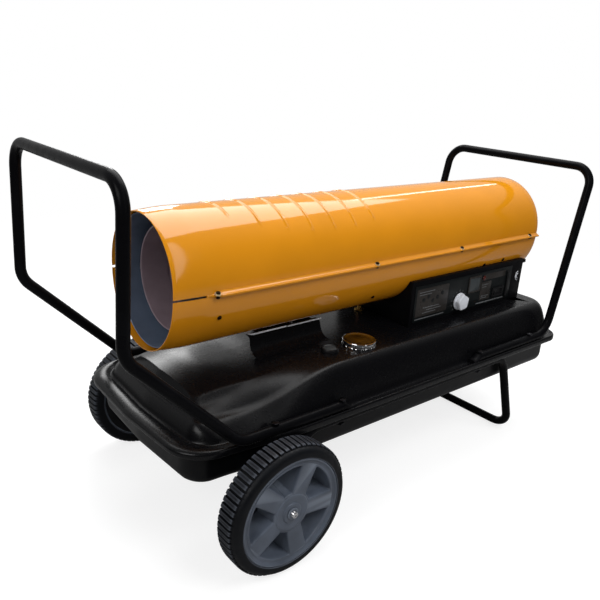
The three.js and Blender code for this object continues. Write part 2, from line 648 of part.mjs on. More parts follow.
// Height of the crown's shoulder above the flange: a step at the nose, a ramp behind the outlet, then level
function shoulderShare(x) {
  const noseShare = tank.noseRise / tank.upperHeight;
  return noseShare + (1 - noseShare) * eased((x - rampFront) / (rampRear - rampFront));
}

// Height of the crown's top face, which starts higher and climbs more evenly
function crownShare(x) {
  const frontShare = tank.topRise / tank.upperHeight;
  const t = THREE.MathUtils.clamp((x - topFront) / (topRear - topFront), 0, 1);
  return frontShare + (1 - frontShare) * (rampEaseShare * eased(t) + (1 - rampEaseShare) * t);
}

function planRing(inset, height) {
  const half = planHalf(inset).map(([x, y]) => at(x, y, height(x)));
  const mirrored = half.slice(1, -1).map((p) => at(p.x, -p.y, p.z)).reverse();
  return [...half, ...mirrored];
}

// A closed body through rings of equal count; the first and last are closed by strips across the middle
function loft(rings) {
  const count = rings[0].length;
  const position = rings.flat().flatMap((p) => [p.x, p.y, p.z]);
  const index = [];
  for (let r = 0; r < rings.length - 1; r += 1) {
    for (let i = 0; i < count; i += 1) {
      const a = r * count + i;
      const b = r * count + ((i + 1) % count);
      index.push(a, b, b + count, a, b + count, a + count);
    }
  }
  const close = (base, flip) => {
    for (let i = 0; i < count / 2; i += 1) {
      const a = base + i;
      const b = base + i + 1;
      const c = base + ((count - i - 1) % count);
      const d = base + ((count - i) % count);
      const triangles = [[a, b, c], [a, c, d]].filter((t) => new Set(t).size === 3);
      for (const t of triangles) index.push(...(flip ? t.reverse() : t));
    }
  };
  close(0, true);
  close((rings.length - 1) * count, false);
  const geometry = new THREE.BufferGeometry();
  geometry.setAttribute('position', new THREE.Float32BufferAttribute(position, 3));
  geometry.setIndex(index);
  return solid(geometry);
}

const wallRun = tank.shoulderInset - tank.flangeWidth;
const flangeTopZ = upperFlangeZ + sheet;
const crownRise = crownZ - flangeTopZ;
const outerCrown = crownShares.map(([across, up]) => planRing(tank.flangeWidth + across * wallRun,
  (x) => flangeTopZ + up * crownRise * shoulderShare(x)));
outerCrown.push(planRing(tank.topInset, (x) => flangeTopZ + crownRise * crownShare(x)));
const innerCrown = crownShares.filter((_, i) => i % 2 === 0).map(([across, up]) => planRing(tank.flangeWidth + across * wallRun + sheet,
  (x) => upperFlangeZ + up * crownRise * shoulderShare(x)));
innerCrown.push(planRing(tank.topInset + sheet, (x) => upperFlangeZ + crownRise * crownShare(x)));
const upperTank = loft([
  ...outerCrown.reverse(),
  planRing(tank.flangeWidth, () => flangeTopZ),
  planRing(0, () => flangeTopZ),
  planRing(0, () => upperFlangeZ),
  planRing(tank.flangeWidth + sheet, () => upperFlangeZ),
  ...innerCrown,
]);

function edgeRings(inset, radius, z, steps) {
  const rings = [];
  for (let i = 0; i <= steps; i += 1) {
    const a = (Math.PI / 2) * (i / steps);
    rings.push(planRing(inset + radius * (1 - Math.sin(a)), () => z + radius * (1 - Math.cos(a))));
  }
  return rings;
}

const lowerTank = loft([
  ...edgeRings(tank.wallInset, tank.bottomEdge, tankBottomZ, 3),
  planRing(tank.wallInset, () => lowerFlangeZ - sheet),
  planRing(sheet, () => lowerFlangeZ - sheet),
  planRing(sheet, () => lowerFlangeZ - tank.lip),
  planRing(0, () => lowerFlangeZ - tank.lip),
  planRing(0, () => lowerFlangeZ),
  planRing(tank.wallInset + sheet, () => lowerFlangeZ),
  ...edgeRings(tank.wallInset + sheet, tank.bottomEdge - sheet, tankBottomZ + sheet, 1).reverse(),
]);

// Bolts that clamp the handles, both flanges and, where it passes below, the wheel frame
const frontRunEnd = -halfLength + tube.radius + frontHandle.slope + frontHandle.run;
const frontRunStart = frontRunEnd - frontHandle.run;
const rearRunStart = halfLength - tube.radius - rearHandle.leanRelief - rearHandle.lean - rearHandle.run;
const rearRunEnd = rearRunStart + rearHandle.run;
const railFront = axleX + frame.railStart;
const railRear = rearRunStart + frame.legReach - frame.legSlope;
const boltSpots = [];
for (const x of [frontRunStart + bolt.frontInset, frontRunEnd - bolt.rearInset,
  rearRunStart + bolt.rearInset, rearRunEnd - bolt.frontInset]) {
  for (const hand of [-1, 1]) {
    boltSpots.push({ x, y: hand * track, clampsRail: x > railFront && x < railRear });
  }
}
const boltHoles = union(boltSpots.map(({ x, y }) => (
  barZ(bolt.radius + fit, railZ - 2 * tube.radius, runZ + 2 * tube.radius, x, y, 8))));

// Fittings on the crown and under the tank
const drainX = tankRear - drain.x;
const crownHoles = [
  barZ(filler.radius + fit, crownZ - 2 * overrun, crownZ + overrun, fillerX, fillerY, 20),
  barZ(gauge.stem + fit, crownZ - 2 * overrun, crownZ + overrun, gaugeX, gaugeY),
  barZ(pickup.radius + fit, crownZ - 2 * overrun, crownZ + overrun, pickupX, pickup.y),
];
add('tank_upper', upperTank.subtract(union([boltHoles, ...crownHoles])), blackPaint);
const drainHole = barZ(drain.radius + fit, tankBottomZ - overrun, tankBottomZ + overrun, drainX, 0);
add('tank_lower', lowerTank.subtract(boltHoles).subtract(drainHole), blackPaint);

add('drain_plug', union([
  barZ(drain.head, tankBottomZ - fit - drain.headHeight, tankBottomZ - fit, drainX, 0, 6),
  barZ(drain.radius, tankBottomZ - fit - sheet, tankBottomZ + overrun, drainX, 0, 12),
]), brass);

add('filler_neck', latheZ([
  [filler.radius - filler.wall, -overrun], [filler.radius, -overrun], [filler.radius, fit],
  [filler.radius + filler.brim, fit], [filler.radius + filler.brim, fit + filler.wall],
  [filler.radius, fit + filler.wall], [filler.radius, filler.height],
  [filler.radius - filler.wall, filler.height], [filler.radius - filler.wall, -overrun],
], fillerX, fillerY, crownZ, 20), brightSteel);

const sealZ = filler.height + fit;
add('cap_seal', latheZ([
  [filler.radius - 3 * filler.wall, sealZ], [filler.radius + filler.wall, sealZ],
  [filler.radius + filler.wall, sealZ + cap.seal], [filler.radius - 3 * filler.wall, sealZ + cap.seal],
  [filler.radius - 3 * filler.wall, sealZ],
], fillerX, fillerY, crownZ, 20), sealRubber);

// Fuel cap: a low dome over the neck, with shallow finger notches in its rim
const roofZ = sealZ + cap.seal + fit;
const capBody = latheZ([
  [0, roofZ], [cap.radius - cap.wall, roofZ], [cap.radius - cap.wall, 2 * fit], [cap.radius, 2 * fit],
  [cap.radius, roofZ], [cap.radius - cap.wall, roofZ + cap.roof], [0, roofZ + cap.roof + cap.seal],
], fillerX, fillerY, crownZ, 24);
const notches = [];
for (let i = 0; i < 12; i += 1) {
  const a = (2 * Math.PI * i) / 12;
  notches.push(barZ(cap.wall, crownZ, crownZ + 2 * cap.height, fillerX + (cap.radius + cap.roof / 2) * Math.cos(a),
    fillerY + (cap.radius + cap.roof / 2) * Math.sin(a), 6));
}
add('fuel_cap', capBody.subtract(union(notches)), chromePlate);

add('fuel_gauge', latheZ([
  [0, -gauge.stemLength], [gauge.stem, -gauge.stemLength], [gauge.stem, fit], [gauge.radius, fit],
  [gauge.radius, gauge.height * 0.6], [gauge.radius * 0.8, gauge.height], [0, gauge.height],
], gaugeX, gaugeY, crownZ, 20), windowPlastic);

// Fuel pick-up: a standpipe with a strainer near the tank's floor and a spigot on top
const pickupFoot = tankBottomZ + sheet + pickup.clearance - crownZ;
add('fuel_pickup', latheZ([
  [0, pickupFoot], [pickup.radius, pickupFoot], [pickup.radius, pickupFoot + 2 * pickup.clearance],
  [pickup.radius / 2, pickupFoot + 2 * pickup.clearance], [pickup.radius / 2, -2 * pickup.plate],
  [pickup.radius, -pickup.plate], [pickup.radius, fit], [pickup.flange, fit],
  [pickup.flange, fit + pickup.plate], [line.radius + sheet, fit + pickup.plate],
  [line.radius + sheet, pickup.spigot], [0, pickup.spigot],
], pickupX, pickup.y, crownZ, 12), brass);

// Fuel and air lines to the nozzle
const lineZ = shellBottomZ + sheet + line.clearance;
const fuelInletX = headX + line.fuelInlet;
const airInletX = headX + line.airInlet;
const pumpPortX = (pumpFront + pumpRear) / 2;
add('fuel_line', bentTube([
  [pickupX, pickup.y, crownZ + pickup.spigot + fit],
  [pickupX, pickup.y, lineZ, line.bend],
  [fuelInletX, pickup.y, lineZ, line.bend],
  [fuelInletX, pickup.y, burnerZ, line.bend],
  [fuelInletX, burner.bore + fit, burnerZ],
], line.radius, 0, 6, 0), copper);
add('air_line', bentTube([
  [pumpPortX, 0, burnerZ - pump.radius - fit],
  [pumpPortX, 0, lineZ, line.bend],
  [pumpPortX, -line.airSide, lineZ, line.bend],
  [airInletX, -line.airSide, lineZ, line.bend],
  [airInletX, -line.airSide, burnerZ, line.bend],
  [airInletX, -burner.bore - fit, burnerZ],
], line.radius, 0, 6, 0), copper);

// Front support: a four-sided frame between the tank's crown and the housing
const supportFront = shellFront + support.start;
const supportRear = supportFront + support.length;
const crownLine = [];
for (let i = 0; i <= 12; i += 1) {
  const x = supportFront - overrun + ((support.length + 2 * overrun) * i) / 12;
  crownLine.push([x, flangeTopZ + crownRise * crownShare(x) + fit]);
}
const underCrown = shapeOf([
  [supportFront - overrun, tankBottomZ], [supportRear + overrun, tankBottomZ], ...crownLine.reverse(),
]);
const supportBody = block(supportFront, supportRear, -support.halfWidth, support.halfWidth, partingZ, shellBottomZ
  + support.halfWidth);
const supportHollow = block(supportFront + sheet, supportRear - sheet, -support.halfWidth + sheet,
  support.halfWidth - sheet, tankBottomZ, seamZ);
add('front_support', supportBody.subtract(supportHollow)
  .subtract(alongY(underCrown, -support.halfWidth - overrun, support.halfWidth + overrun))
  .subtract(housingVolume(fit, supportFront - overrun, supportRear + overrun)), blackPaint);

// Control box: a sheet housing whose roof cradles the burner housing
const boxTopZ = boxBottomZ + box.height;
const openingX0 = boxFront + panel.inset + panel.frame;
const openingX1 = boxRear - panel.endInset - panel.frame;
const openingZ0 = boxBottomZ + panel.bottom + panel.frame / 2;
const openingZ1 = boxTopZ - panel.top - panel.frame / 2;
const boxOuter = block(boxFront, boxRear, faceY, -faceY, boxBottomZ, boxTopZ)
  .subtract(housingVolume(box.gap, boxFront - overrun, boxRear + overrun));
const boxInner = block(boxFront + sheet, boxRear - sheet, faceY + sheet, -faceY - sheet, boxBottomZ + sheet,
  boxTopZ - sheet).subtract(housingVolume(box.gap + sheet, boxFront, boxRear));
const boxOpening = block(openingX0, openingX1, faceY - overrun, faceY + overrun, openingZ0, openingZ1);
const glandZ = boxBottomZ + gland.rise;
const glandHole = barX(gland.radius + fit, boxRear - overrun, boxRear + overrun, -gland.y, glandZ);
add('control_box', boxOuter.subtract(boxInner).subtract(boxOpening).subtract(glandHole), blackPaint);

add('cord_gland', latheX([
  [0, -overrun], [gland.radius, -overrun], [gland.radius, fit], [gland.flange, fit],
  [gland.flange, gland.length / 3], [gland.radius, gland.length / 3], [gland.radius * 0.7, gland.length],
  [0, gland.length],
], boxRear, -gland.y, glandZ, 18), blackPlastic);

// Control panel with its knob, display, lamp and rocker switch
const panelX0 = boxFront + panel.inset;
const panelX1 = boxRear - panel.endInset;
const panelZ0 = boxBottomZ + panel.bottom;
const panelZ1 = boxTopZ - panel.top;
const knobX = boxFront + knob.x;
const knobZ = boxBottomZ + knob.z;
const displayX = boxFront + display.x;
const displayZ = boxBottomZ + display.z;
const rockerX = boxFront + rocker.x;
const rockerZ = boxBottomZ + rocker.z;
const lampX = boxFront + lamp.x;
const lampZ = boxBottomZ + lamp.z;
const cutY0 = panelY - overrun;
const cutY1 = faceY + overrun;
const wellHalf = rocker.width / 2;
const wellTall = rocker.height / 2;
add('control_panel', block(panelX0, panelX1, panelY, faceY - fit, panelZ0, panelZ1).subtract(union([
  barY(boreRadius(knob.spindle, 16), cutY0, cutY1, knobX, knobZ, 16),
  barY(lamp.radius + fit, cutY0, cutY1, lampX, lampZ, 16),
  block(rockerX - wellHalf - fit, rockerX + wellHalf + fit, cutY0, cutY1, rockerZ - wellTall - fit,
    rockerZ + wellTall + fit),
  block(displayX - display.width / 2 + display.lip - fit, displayX + display.width / 2 - display.lip + fit,
    cutY0, cutY1, displayZ - display.height / 2 + display.lip - fit, displayZ + display.height / 2 - display.lip
    + fit),
])), panelPlastic);

add('display_window', union([
  block(displayX - display.width / 2, displayX + display.width / 2, panelY - fit - display.thickness, panelY - fit,
    displayZ - display.height / 2, displayZ + display.height / 2),
  block(displayX - display.width / 2 + display.lip, displayX + display.width / 2 - display.lip,
    panelY - fit - display.thickness / 2, faceY + display.lip,
    displayZ - display.height / 2 + display.lip, displayZ + display.height / 2 - display.lip),
]), windowPlastic);

add('indicator_lamp', union([
  barY(lamp.radius, panelY - fit - lamp.radius / 2, faceY + lamp.length, lampX, lampZ, 14),
  barY(lamp.radius * 1.3, panelY - fit - lamp.radius / 4, panelY - fit, lampX, lampZ, 14),
]), redLens);

// Rocker switch: the rocker turns on an upright pin line inside its bezel
const bezelOuter = union([
  block(rockerX - wellHalf, rockerX + wellHalf, panelY - fit - rocker.rim / 2, faceY + rocker.depth,
    rockerZ - wellTall, rockerZ + wellTall),
  block(rockerX - wellHalf - rocker.rim, rockerX + wellHalf + rocker.rim, panelY - fit - rocker.rim, panelY - fit,
    rockerZ - wellTall - rocker.rim, rockerZ + wellTall + rocker.rim),
]);
const rockerHalf = wellHalf - rocker.rim;
const rockerTall = wellTall - rocker.rim;
const pivotY = panelY + rocker.rim;
const rockerRoom = block(rockerX - rockerHalf, rockerX + rockerHalf, panelY - 2 * overrun, faceY + rocker.depth
  - rocker.rim, rockerZ - rockerTall, rockerZ + rockerTall);
add('switch_bezel', bezelOuter.subtract(rockerRoom), blackPlastic);
const tip = rockerHalf * rocker.tipShare;
const rockerShape = shapeOf([
  [-tip, 0], [-tip, 2 * rocker.rim], [0, rocker.rim * 1.2], [tip, 2 * rocker.rim], [tip, 0], [0, -2 * rocker.rim],
]);
const rockerBody = alongZ(rockerShape, -rockerTall + fit, rockerTall - fit).rotate([180, 0, 0])
  .rotate([0, 0, rocker.throwDeg / 2]).translate([rockerX, pivotY, rockerZ]);
add('power_switch', rockerBody, blackPlastic);

// Thermostat: body behind the panel, spindle and knob in front
const bodyY = faceY + sheet + fit;
add('thermostat', union([
  block(knobX - knob.body / 2, knobX + knob.body / 2, bodyY, bodyY + knob.bodyDepth, knobZ - knob.body / 2,
    knobZ + knob.body / 2),
]).subtract(barY(boreRadius(knob.spindle, 16), bodyY - overrun, bodyY + knob.bodyDepth / 2, knobX, knobZ, 16)),
  blackPlastic);
const knobBack = panelY - knob.stand;
const spindleEnd = knobBack - knob.depth / 2;
add('thermostat_spindle', barY(knob.spindle, spindleEnd, bodyY + knob.bodyDepth / 2 - fit, knobX, knobZ, 16),
  brightSteel);
const knobShape = shapeOf(circlePoints(knob.radius, knob.sides));
const knobGeometry = new THREE.ExtrudeGeometry(knobShape, {
  depth: knob.depth - knob.spindle, bevelEnabled: true, bevelThickness: knob.spindle / 2,
  bevelSize: knob.spindle / 2, bevelOffset: -knob.spindle / 2, bevelSegments: 1,
});
const knobBody = turned(knobGeometry, axisX, axisZ, backwards(axisY), at(knobX, knobBack - knob.spindle / 2, knobZ));
const pointer = block(knobX - knob.spindle / 2, knobX + knob.spindle / 2, knobBack - knob.depth - sheet,
  knobBack - knob.depth + sheet, knobZ, knobZ + knob.radius * 0.8);
add('thermostat_knob', knobBody.add(pointer).subtract(
  barY(knob.spindle + running, spindleEnd - fit, knobBack + overrun, knobX, knobZ, 16)), paleKnob);

// Inside the control box: board on feet, and the ignition transformer on the floor
const floorZ = boxBottomZ + sheet + fit;
const boardX = boxFront + board.x;
const feet = [];
for (const [u, v] of [[-1, -1], [-1, 1], [1, -1], [1, 1]]) {
  feet.push(barZ(board.footRadius, floorZ, floorZ + board.foot + board.thickness / 2,
    boardX + u * (board.width / 2 - 2 * board.footRadius), v * (board.depth / 2 - 2 * board.footRadius), 10));
}
add('control_board', union([
  block(boardX - board.width / 2, boardX + board.width / 2, -board.depth / 2, board.depth / 2, floorZ + board.foot,
    floorZ + board.foot + board.thickness),
  ...feet,
]), greenBoard);
const transformerX = boxFront + transformer.x;
add('ignition_transformer', block(transformerX - transformer.width / 2, transformerX + transformer.width / 2,
  -transformer.depth / 2, transformer.depth / 2, floorZ, floorZ + transformer.height), blackPlastic);

// Handles: bent tubes bolted along the tank's flanges
const frontPostX = -halfLength + tube.radius - frontHandle.kneeRelief;
add('front_handle', loopTube([
  [frontRunEnd, -track, runZ, 0],
  [frontRunStart, -track, runZ, frontHandle.bend],
  [frontPostX, -track, runZ + frontHandle.kneeHeight, frontHandle.bend],
  [frontPostX + frontHandle.lean, -track, runZ + frontHandle.height, frontHandle.corner],
]).subtract(boltHoles), blackPaint);
add('rear_handle', loopTube([
  [rearRunStart, -track, runZ, 0],
  [rearRunEnd, -track, runZ, rearHandle.bend],
  [rearRunEnd + rearHandle.lean, -track, runZ + rearHandle.height, rearHandle.corner],
]).subtract(boltHoles), blackPaint);

// Wheel frame: one bent tube, drilled for the axle in front and shaped into a standing leg behind
const legX = railRear + frame.legSlope;
const slopeRun = frame.railStart + frame.pastAxle;
const slopeDrop = ((railZ - axleZ) * slopeRun) / frame.railStart;
const floorCut = block(railRear, halfLength, -tank.halfWidth, tank.halfWidth, -tube.radius, 0);
const axleBore = barY(wheel.axleRadius + fit, -tank.halfWidth, tank.halfWidth, axleX, axleZ, 24);
add('wheel_frame', loopTube([
  [railFront - slopeRun, -track, railZ - slopeDrop, 0],
  [railFront, -track, railZ, frame.tailBend],
  [railRear, -track, railZ, frame.tailBend],
  [legX, -track, tube.radius - frame.footFlat, frame.footBend],
]).subtract(union([boltHoles, axleBore, floorCut])), blackPaint);

for (const [i, { x, y, clampsRail }] of boltSpots.entries()) {
  const headZ = runZ + tube.radius + fit;
  const nutZ = (clampsRail ? railZ - tube.radius : lowerFlangeZ - sheet) - fit;
  add(`handle_bolt_${i + 1}`, union([
    barZ(bolt.head, headZ, headZ + bolt.headHeight, x, y, 6),
    barZ(bolt.radius, nutZ - bolt.headHeight, headZ + bolt.headHeight / 2, x, y, 8),
    barZ(bolt.head, nutZ - bolt.headHeight, nutZ, x, y, 6),
  ]), brightSteel);
}

// Axle, wheels and end caps
const hubFace = outerFace - wheel.rimInset / 2;
const capInner = hubFace + fit;
const axleEnd = capInner + wheel.capHeight / 2;
add('axle', barY(wheel.axleRadius, -axleEnd, axleEnd, axleX, axleZ, 24), brightSteel);

function tyreOutline() {
  const points = [];
  const pitch = (2 * Math.PI) / wheel.lugs;
  const half = (pitch * lugTopShare) / 2;
  const lugCorner = wheel.radius / Math.cos(half);
  for (let i = 0; i < wheel.lugs; i += 1) {
    const middle = pitch * i - Math.PI / 2;
    for (const [radius, a] of [
      [wheel.radius - wheel.tread, middle - half], [lugCorner, middle - half],
      [lugCorner, middle + half], [wheel.radius - wheel.tread, middle + half],
    ]) {
      points.push([axleX + radius * Math.cos(a), axleZ + radius * Math.sin(a)]);
    }
  }
  return points;
}

function around(points, x, z) {
  return points.map(([u, v]) => [x + u, z + v]);
}

function wheelBodies(hand) {
  const span = (near, far) => (hand > 0 ? [near, far] : [-far, -near]);
  const inner = outerFace - wheel.width;
  const bead = circlePoints(wheel.rimRadius, 40);
  const withBore = (shape) => {
    shape.holes.push(new THREE.Path(ring(around(bead, axleX, axleZ).reverse())));
    return shape;
  };
  const tread = alongY(withBore(shapeOf(tyreOutline())), ...span(inner + wheel.shoulder,
    outerFace - wheel.shoulder));
  const walls = alongY(withBore(shapeOf(around(circlePoints(wheel.sidewall, 40), axleX, axleZ))),
    ...span(inner, outerFace));
  const tyre = tread.add(walls);

  const rimOuter = wheel.rimRadius - fit;
  const rimInner = rimOuter - wheel.rimWall;
  const rimRing = shapeOf(around(circlePoints(rimOuter, 40), axleX, axleZ));
  rimRing.holes.push(new THREE.Path(ring(around(circlePoints(rimInner, 40), axleX, axleZ).reverse())));
  const band = alongY(rimRing, ...span(inner + wheel.rimInset, outerFace - wheel.rimInset));
  const disc = shapeOf(around(circlePoints(rimInner + wheel.rimWall / 2, 40), axleX, axleZ));
  for (let i = 0; i < wheel.spokes; i += 1) {
    const sector = (2 * Math.PI) / wheel.spokes;
    const middle = THREE.MathUtils.degToRad(spokePhaseDeg) + sector * (i + 0.5);
    const arcAt = (radius, width, sign) => {
      const reach = sector / 2 - Math.asin(width / 2 / radius);
      const points = [];
      for (let k = 0; k <= 4; k += 1) {
        const a = middle + sign * reach * (k / 2 - 1);
        points.push([axleX + radius * Math.cos(a), axleZ + radius * Math.sin(a)]);
      }
      return points;
    };
    const pocket = [...arcAt(rimInner - wheel.rimWall / 4, wheel.spokeWidth, 1),
      ...arcAt(wheel.bossRadius, wheel.spokeWidth * spokeTaperShare, -1)];
    disc.holes.push(new THREE.Path(ring(pocket)));
  }
  const spokes = alongY(disc, ...span(outerFace - wheel.spokeInset - wheel.spokeDepth, outerFace
    - wheel.spokeInset));
  const webOuter = outerFace - wheel.spokeInset - wheel.spokeDepth + wheel.web;
  const web = barY(rimInner + wheel.rimWall / 2, ...span(webOuter - wheel.web, webOuter), axleX, axleZ, 40);
  const hubInner = track + tube.radius + 2 * fit;
  const hub = barY(wheel.hubRadius, ...span(hubInner, hubFace), axleX, axleZ, 20);
  const bore = barY(boreRadius(wheel.axleRadius, 24), ...span(hubInner - overrun, hubFace + overrun), axleX, axleZ, 24);
  const rim = union([band, spokes, web, hub]).subtract(bore);

  const capEnd = capInner + wheel.capHeight;
  const endCap = barY(wheel.capRadius, ...span(capInner, capEnd), axleX, axleZ, 20)
    .subtract(barY(wheel.axleRadius + fit, ...span(capInner - overrun, axleEnd + fit), axleX, axleZ, 24));
  return { tyre, rim, endCap };
}

for (const [name, hand] of [['left', -1], ['right', 1]]) {
  const { tyre, rim, endCap } = wheelBodies(hand);
  add(`tyre_${name}`, tyre, tyreRubber);
  add(`rim_${name}`, rim, rimPlastic);
  add(`hub_cap_${name}`, endCap, chromePlate);
}

export default heater;
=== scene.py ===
import math

import bmesh
import bpy
from mathutils import Matrix, Vector


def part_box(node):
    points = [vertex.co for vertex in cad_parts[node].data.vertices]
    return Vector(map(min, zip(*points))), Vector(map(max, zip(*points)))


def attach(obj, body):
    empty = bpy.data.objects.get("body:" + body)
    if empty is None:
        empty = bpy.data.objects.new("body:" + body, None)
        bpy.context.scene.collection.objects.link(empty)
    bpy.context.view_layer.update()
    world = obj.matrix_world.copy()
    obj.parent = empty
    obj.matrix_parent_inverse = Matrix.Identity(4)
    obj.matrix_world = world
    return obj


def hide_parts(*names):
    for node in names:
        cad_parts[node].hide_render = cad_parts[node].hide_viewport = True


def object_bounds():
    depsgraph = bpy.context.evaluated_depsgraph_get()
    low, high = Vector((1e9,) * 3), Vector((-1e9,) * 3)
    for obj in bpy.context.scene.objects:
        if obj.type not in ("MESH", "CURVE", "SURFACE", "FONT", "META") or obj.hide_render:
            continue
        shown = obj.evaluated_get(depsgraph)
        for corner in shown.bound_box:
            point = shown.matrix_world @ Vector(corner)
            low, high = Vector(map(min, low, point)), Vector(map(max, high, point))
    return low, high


# Looks of a forced-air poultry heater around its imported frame.
# Metres, +Z up. The warm-air outlet is at -X and the control panel faces -Y.
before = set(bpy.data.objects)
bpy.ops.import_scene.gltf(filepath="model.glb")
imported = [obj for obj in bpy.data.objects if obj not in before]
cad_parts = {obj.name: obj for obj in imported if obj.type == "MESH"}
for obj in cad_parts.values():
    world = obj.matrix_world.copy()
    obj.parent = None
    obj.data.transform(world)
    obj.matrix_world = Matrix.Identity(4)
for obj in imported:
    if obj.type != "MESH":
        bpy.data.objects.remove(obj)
cad_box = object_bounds()

mm = 0.001
sheet = 1.5 * mm
fit = 0.3 * mm


class Sizes:
    """A group of named sizes, given in millimetres and kept in metres."""

    def __init__(self, **values):
        for name, value in values.items():
            setattr(self, name, value * mm)


def lengths(*values):
    """Values in millimetres as lengths."""
    return [value * mm for value in values]


def points_mm(rows, u=0.0, v=0.0):
    """Rows of two values in millimetres as points, counted from the point (u, v)."""
    return [(u + across * mm, v + along * mm) for across, along in rows]


# Main boxes of the frame
shell_low, shell_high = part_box("lower_shell")[0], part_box("upper_shell")[1]
tank_low, tank_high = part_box("tank_lower")[0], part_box("tank_upper")[1]
panel_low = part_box("control_panel")[0]
axle_low, axle_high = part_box("axle")

tank = Sizes(
    nose_taper=16, nose_length=130, nose_bow=7, front_corner=75, rear_corner=45, lower_depth=80, flange=20,
    shoulder=63, wall=25, bottom_edge=28, height=79, ramp_start=135, ramp_end=-140, nose_rise=27,
    top_inset=104, top_rise=49, top_end=-230, ramp_round=30, dome=20, dome_start=-400, dome_end=-270,
    bead=3.4, nose_bead=3.8, hem=2.4,
)
parting_z = tank_low.z + tank.lower_depth
flange_top = parting_z + fit / 2 + sheet
flange_under = parting_z - fit / 2 - sheet

shell = Sizes(
    radius=118.5, rise=10.5, depth=126, flange=9, flange_start=70, flange_full=40, flange_end=2, overlap=0.1,
    root=6, slit=2, hem=1.2, turned=58, turn=4.2,
)
seam_z = shell_low.z + shell.depth
axis_z = seam_z + shell.rise
burner_z = (shell_low.z + axis_z + shell.radius) / 2
front_x, rear_x = shell_low.x, shell_high.x

rib = Sizes(first=140, pitch=55, width=9, height=1.7, taper=12)
rib_reach_deg = [30, 43, 50, 55, 56, 56, 52]

tube = Sizes(radius=10, track=213, end=26)
run_z = flange_top + fit + tube.radius
rail_z = flange_under - fit - tube.radius


def srgb(red, green, blue):
    """A colour written as it looks on screen, 0 to 255, as the linear values that a shader takes."""
    linear = []
    for value in (red, green, blue):
        level = value / 255
        linear.append(level / 12.92 if level <= 0.04045 else ((level + 0.055) / 1.055) ** 2.4)
    return (*linear, 1)


# Materials
def feed(tree, node, inputs):
    """Sets the inputs of a node, or links them where the value is an output of another node."""
    for socket, value in inputs.items():
        if isinstance(value, bpy.types.NodeSocket):
            tree.links.new(value, node.inputs[socket])
        else:
            node.inputs[socket].default_value = value


def add_node(tree, kind, inputs=None, **settings):
    """A new node of a tree, with its settings and its inputs."""
    node = tree.nodes.new("ShaderNode" + kind)
    for name, value in settings.items():
        setattr(node, name, value)
    feed(tree, node, inputs or {})
    return node


def shade(colour, factor):
    """The same colour, lighter or darker."""
    return (*(min(1, part * factor) for part in colour[:3]), 1)


class Look:
    """A material with its node tree and its main shader."""

    def __init__(self, name, colour, rough, metallic=0.0, specular=0.5, coat=0.0, coat_rough=0.1):
        self.material = bpy.data.materials.new(name)
        self.material.use_nodes = True
        self.tree = self.material.node_tree
        self.shader = self.tree.nodes["Principled BSDF"]
        self.set({"Base Color": colour, "Roughness": rough, "Metallic": metallic,
                  "Specular IOR Level": specular, "Coat Weight": coat, "Coat Roughness": coat_rough})
        self.place = add_node(self.tree, "TexCoord").outputs["Object"]

    def set(self, inputs):
        feed(self.tree, self.shader, inputs)

    def noise(self, scale, detail, stretch=(1, 1, 1)):
        """Noise in the object's own space, finer along an axis where stretch is larger."""
        mapping = add_node(self.tree, "Mapping", {"Vector": self.place, "Scale": stretch})
        place = mapping.outputs["Vector"]
        texture = add_node(self.tree, "TexNoise", {"Vector": place, "Scale": scale, "Detail": detail})
        return texture.outputs["Fac"]

    def ramp(self, value, low, high, from_level=0.35, to_level=0.65):
        """A number or colour that runs from low to high as value rises between the two levels."""
        inputs = {"Value": value, "From Min": from_level, "From Max": to_level}
        if isinstance(low, (int, float)):
            inputs.update({"To Min": low, "To Max": high})
            return add_node(self.tree, "MapRange", inputs).outputs["Result"]
        share = add_node(self.tree, "MapRange", inputs).outputs["Result"]
        mix = add_node(self.tree, "Mix", {}, data_type="RGBA")
        feed(self.tree, mix, {"Factor": share, 6: low, 7: high})
        return mix.outputs[2]

    def tone(self, colour, noise, darker, paler, *levels):
        """A colour that is darker or paler from place to place."""
        return self.ramp(noise, shade(colour, darker), shade(colour, paler), *levels)

    def finish(self, colour, rough, grain, distance, strength):
        """Feeds the main shader its colour, its roughness and a fine bump."""
        bump = add_node(self.tree, "Bump", {"Height": grain, "Distance": distance, "Strength": strength})
        self.set({"Base Color": colour, "Roughness": rough, "Normal": bump.outputs["Normal"]})
        return self.material


def painted(name, colour, rough, coat, coat_rough, peel, specular):
    """Gloss paint with a faint peel."""
    look = Look(name, colour, rough, specular=specular, coat=coat, coat_rough=coat_rough)
    base = look.tone(colour, look.noise(9, 4), 0.97, 1.03)
    varied = look.ramp(look.noise(42, 5), rough * 0.95, rough * 1.06)
    return look.finish(base, varied, look.noise(160, 2), peel, 0.5)


def powder(name, colour, rough):
    """Powder coat: a fine grain with a soft sheen, and patches a little greyer at random."""
    look = Look(name, colour, rough, specular=0.05)
    base = look.tone(colour, look.noise(16, 6), 1, 1.6, 0.52, 0.75)
    varied = look.ramp(look.noise(60, 4), rough * 0.85, rough * 1.18)
    return look.finish(base, varied, look.noise(900, 2), 0.03 * mm, 0.3)


def plated(name, colour, rough, brushed=(1, 1, 1), metallic=1.0):
    """Metal with fine brushing, or none."""
    look = Look(name, colour, rough, metallic=metallic)
    base = look.tone(colour, look.noise(26, 5), 0.9, 1.06)
    varied = look.ramp(look.noise(70, 5, brushed), rough * 0.85, rough * 1.2)
    return look.finish(base, varied, look.noise(240, 3, brushed), 0.01 * mm, 0.5)


def moulded(name, colour, rough, grain=0.05 * mm, specular=0.5):
    """Moulded plastic."""
    look = Look(name, colour, rough, specular=specular)
    base = look.tone(colour, look.noise(20, 5), 0.88, 1.12)
    varied = look.ramp(look.noise(55, 4), rough * 0.86, rough * 1.15)
    return look.finish(base, varied, look.noise(500, 3), grain, 0.3)


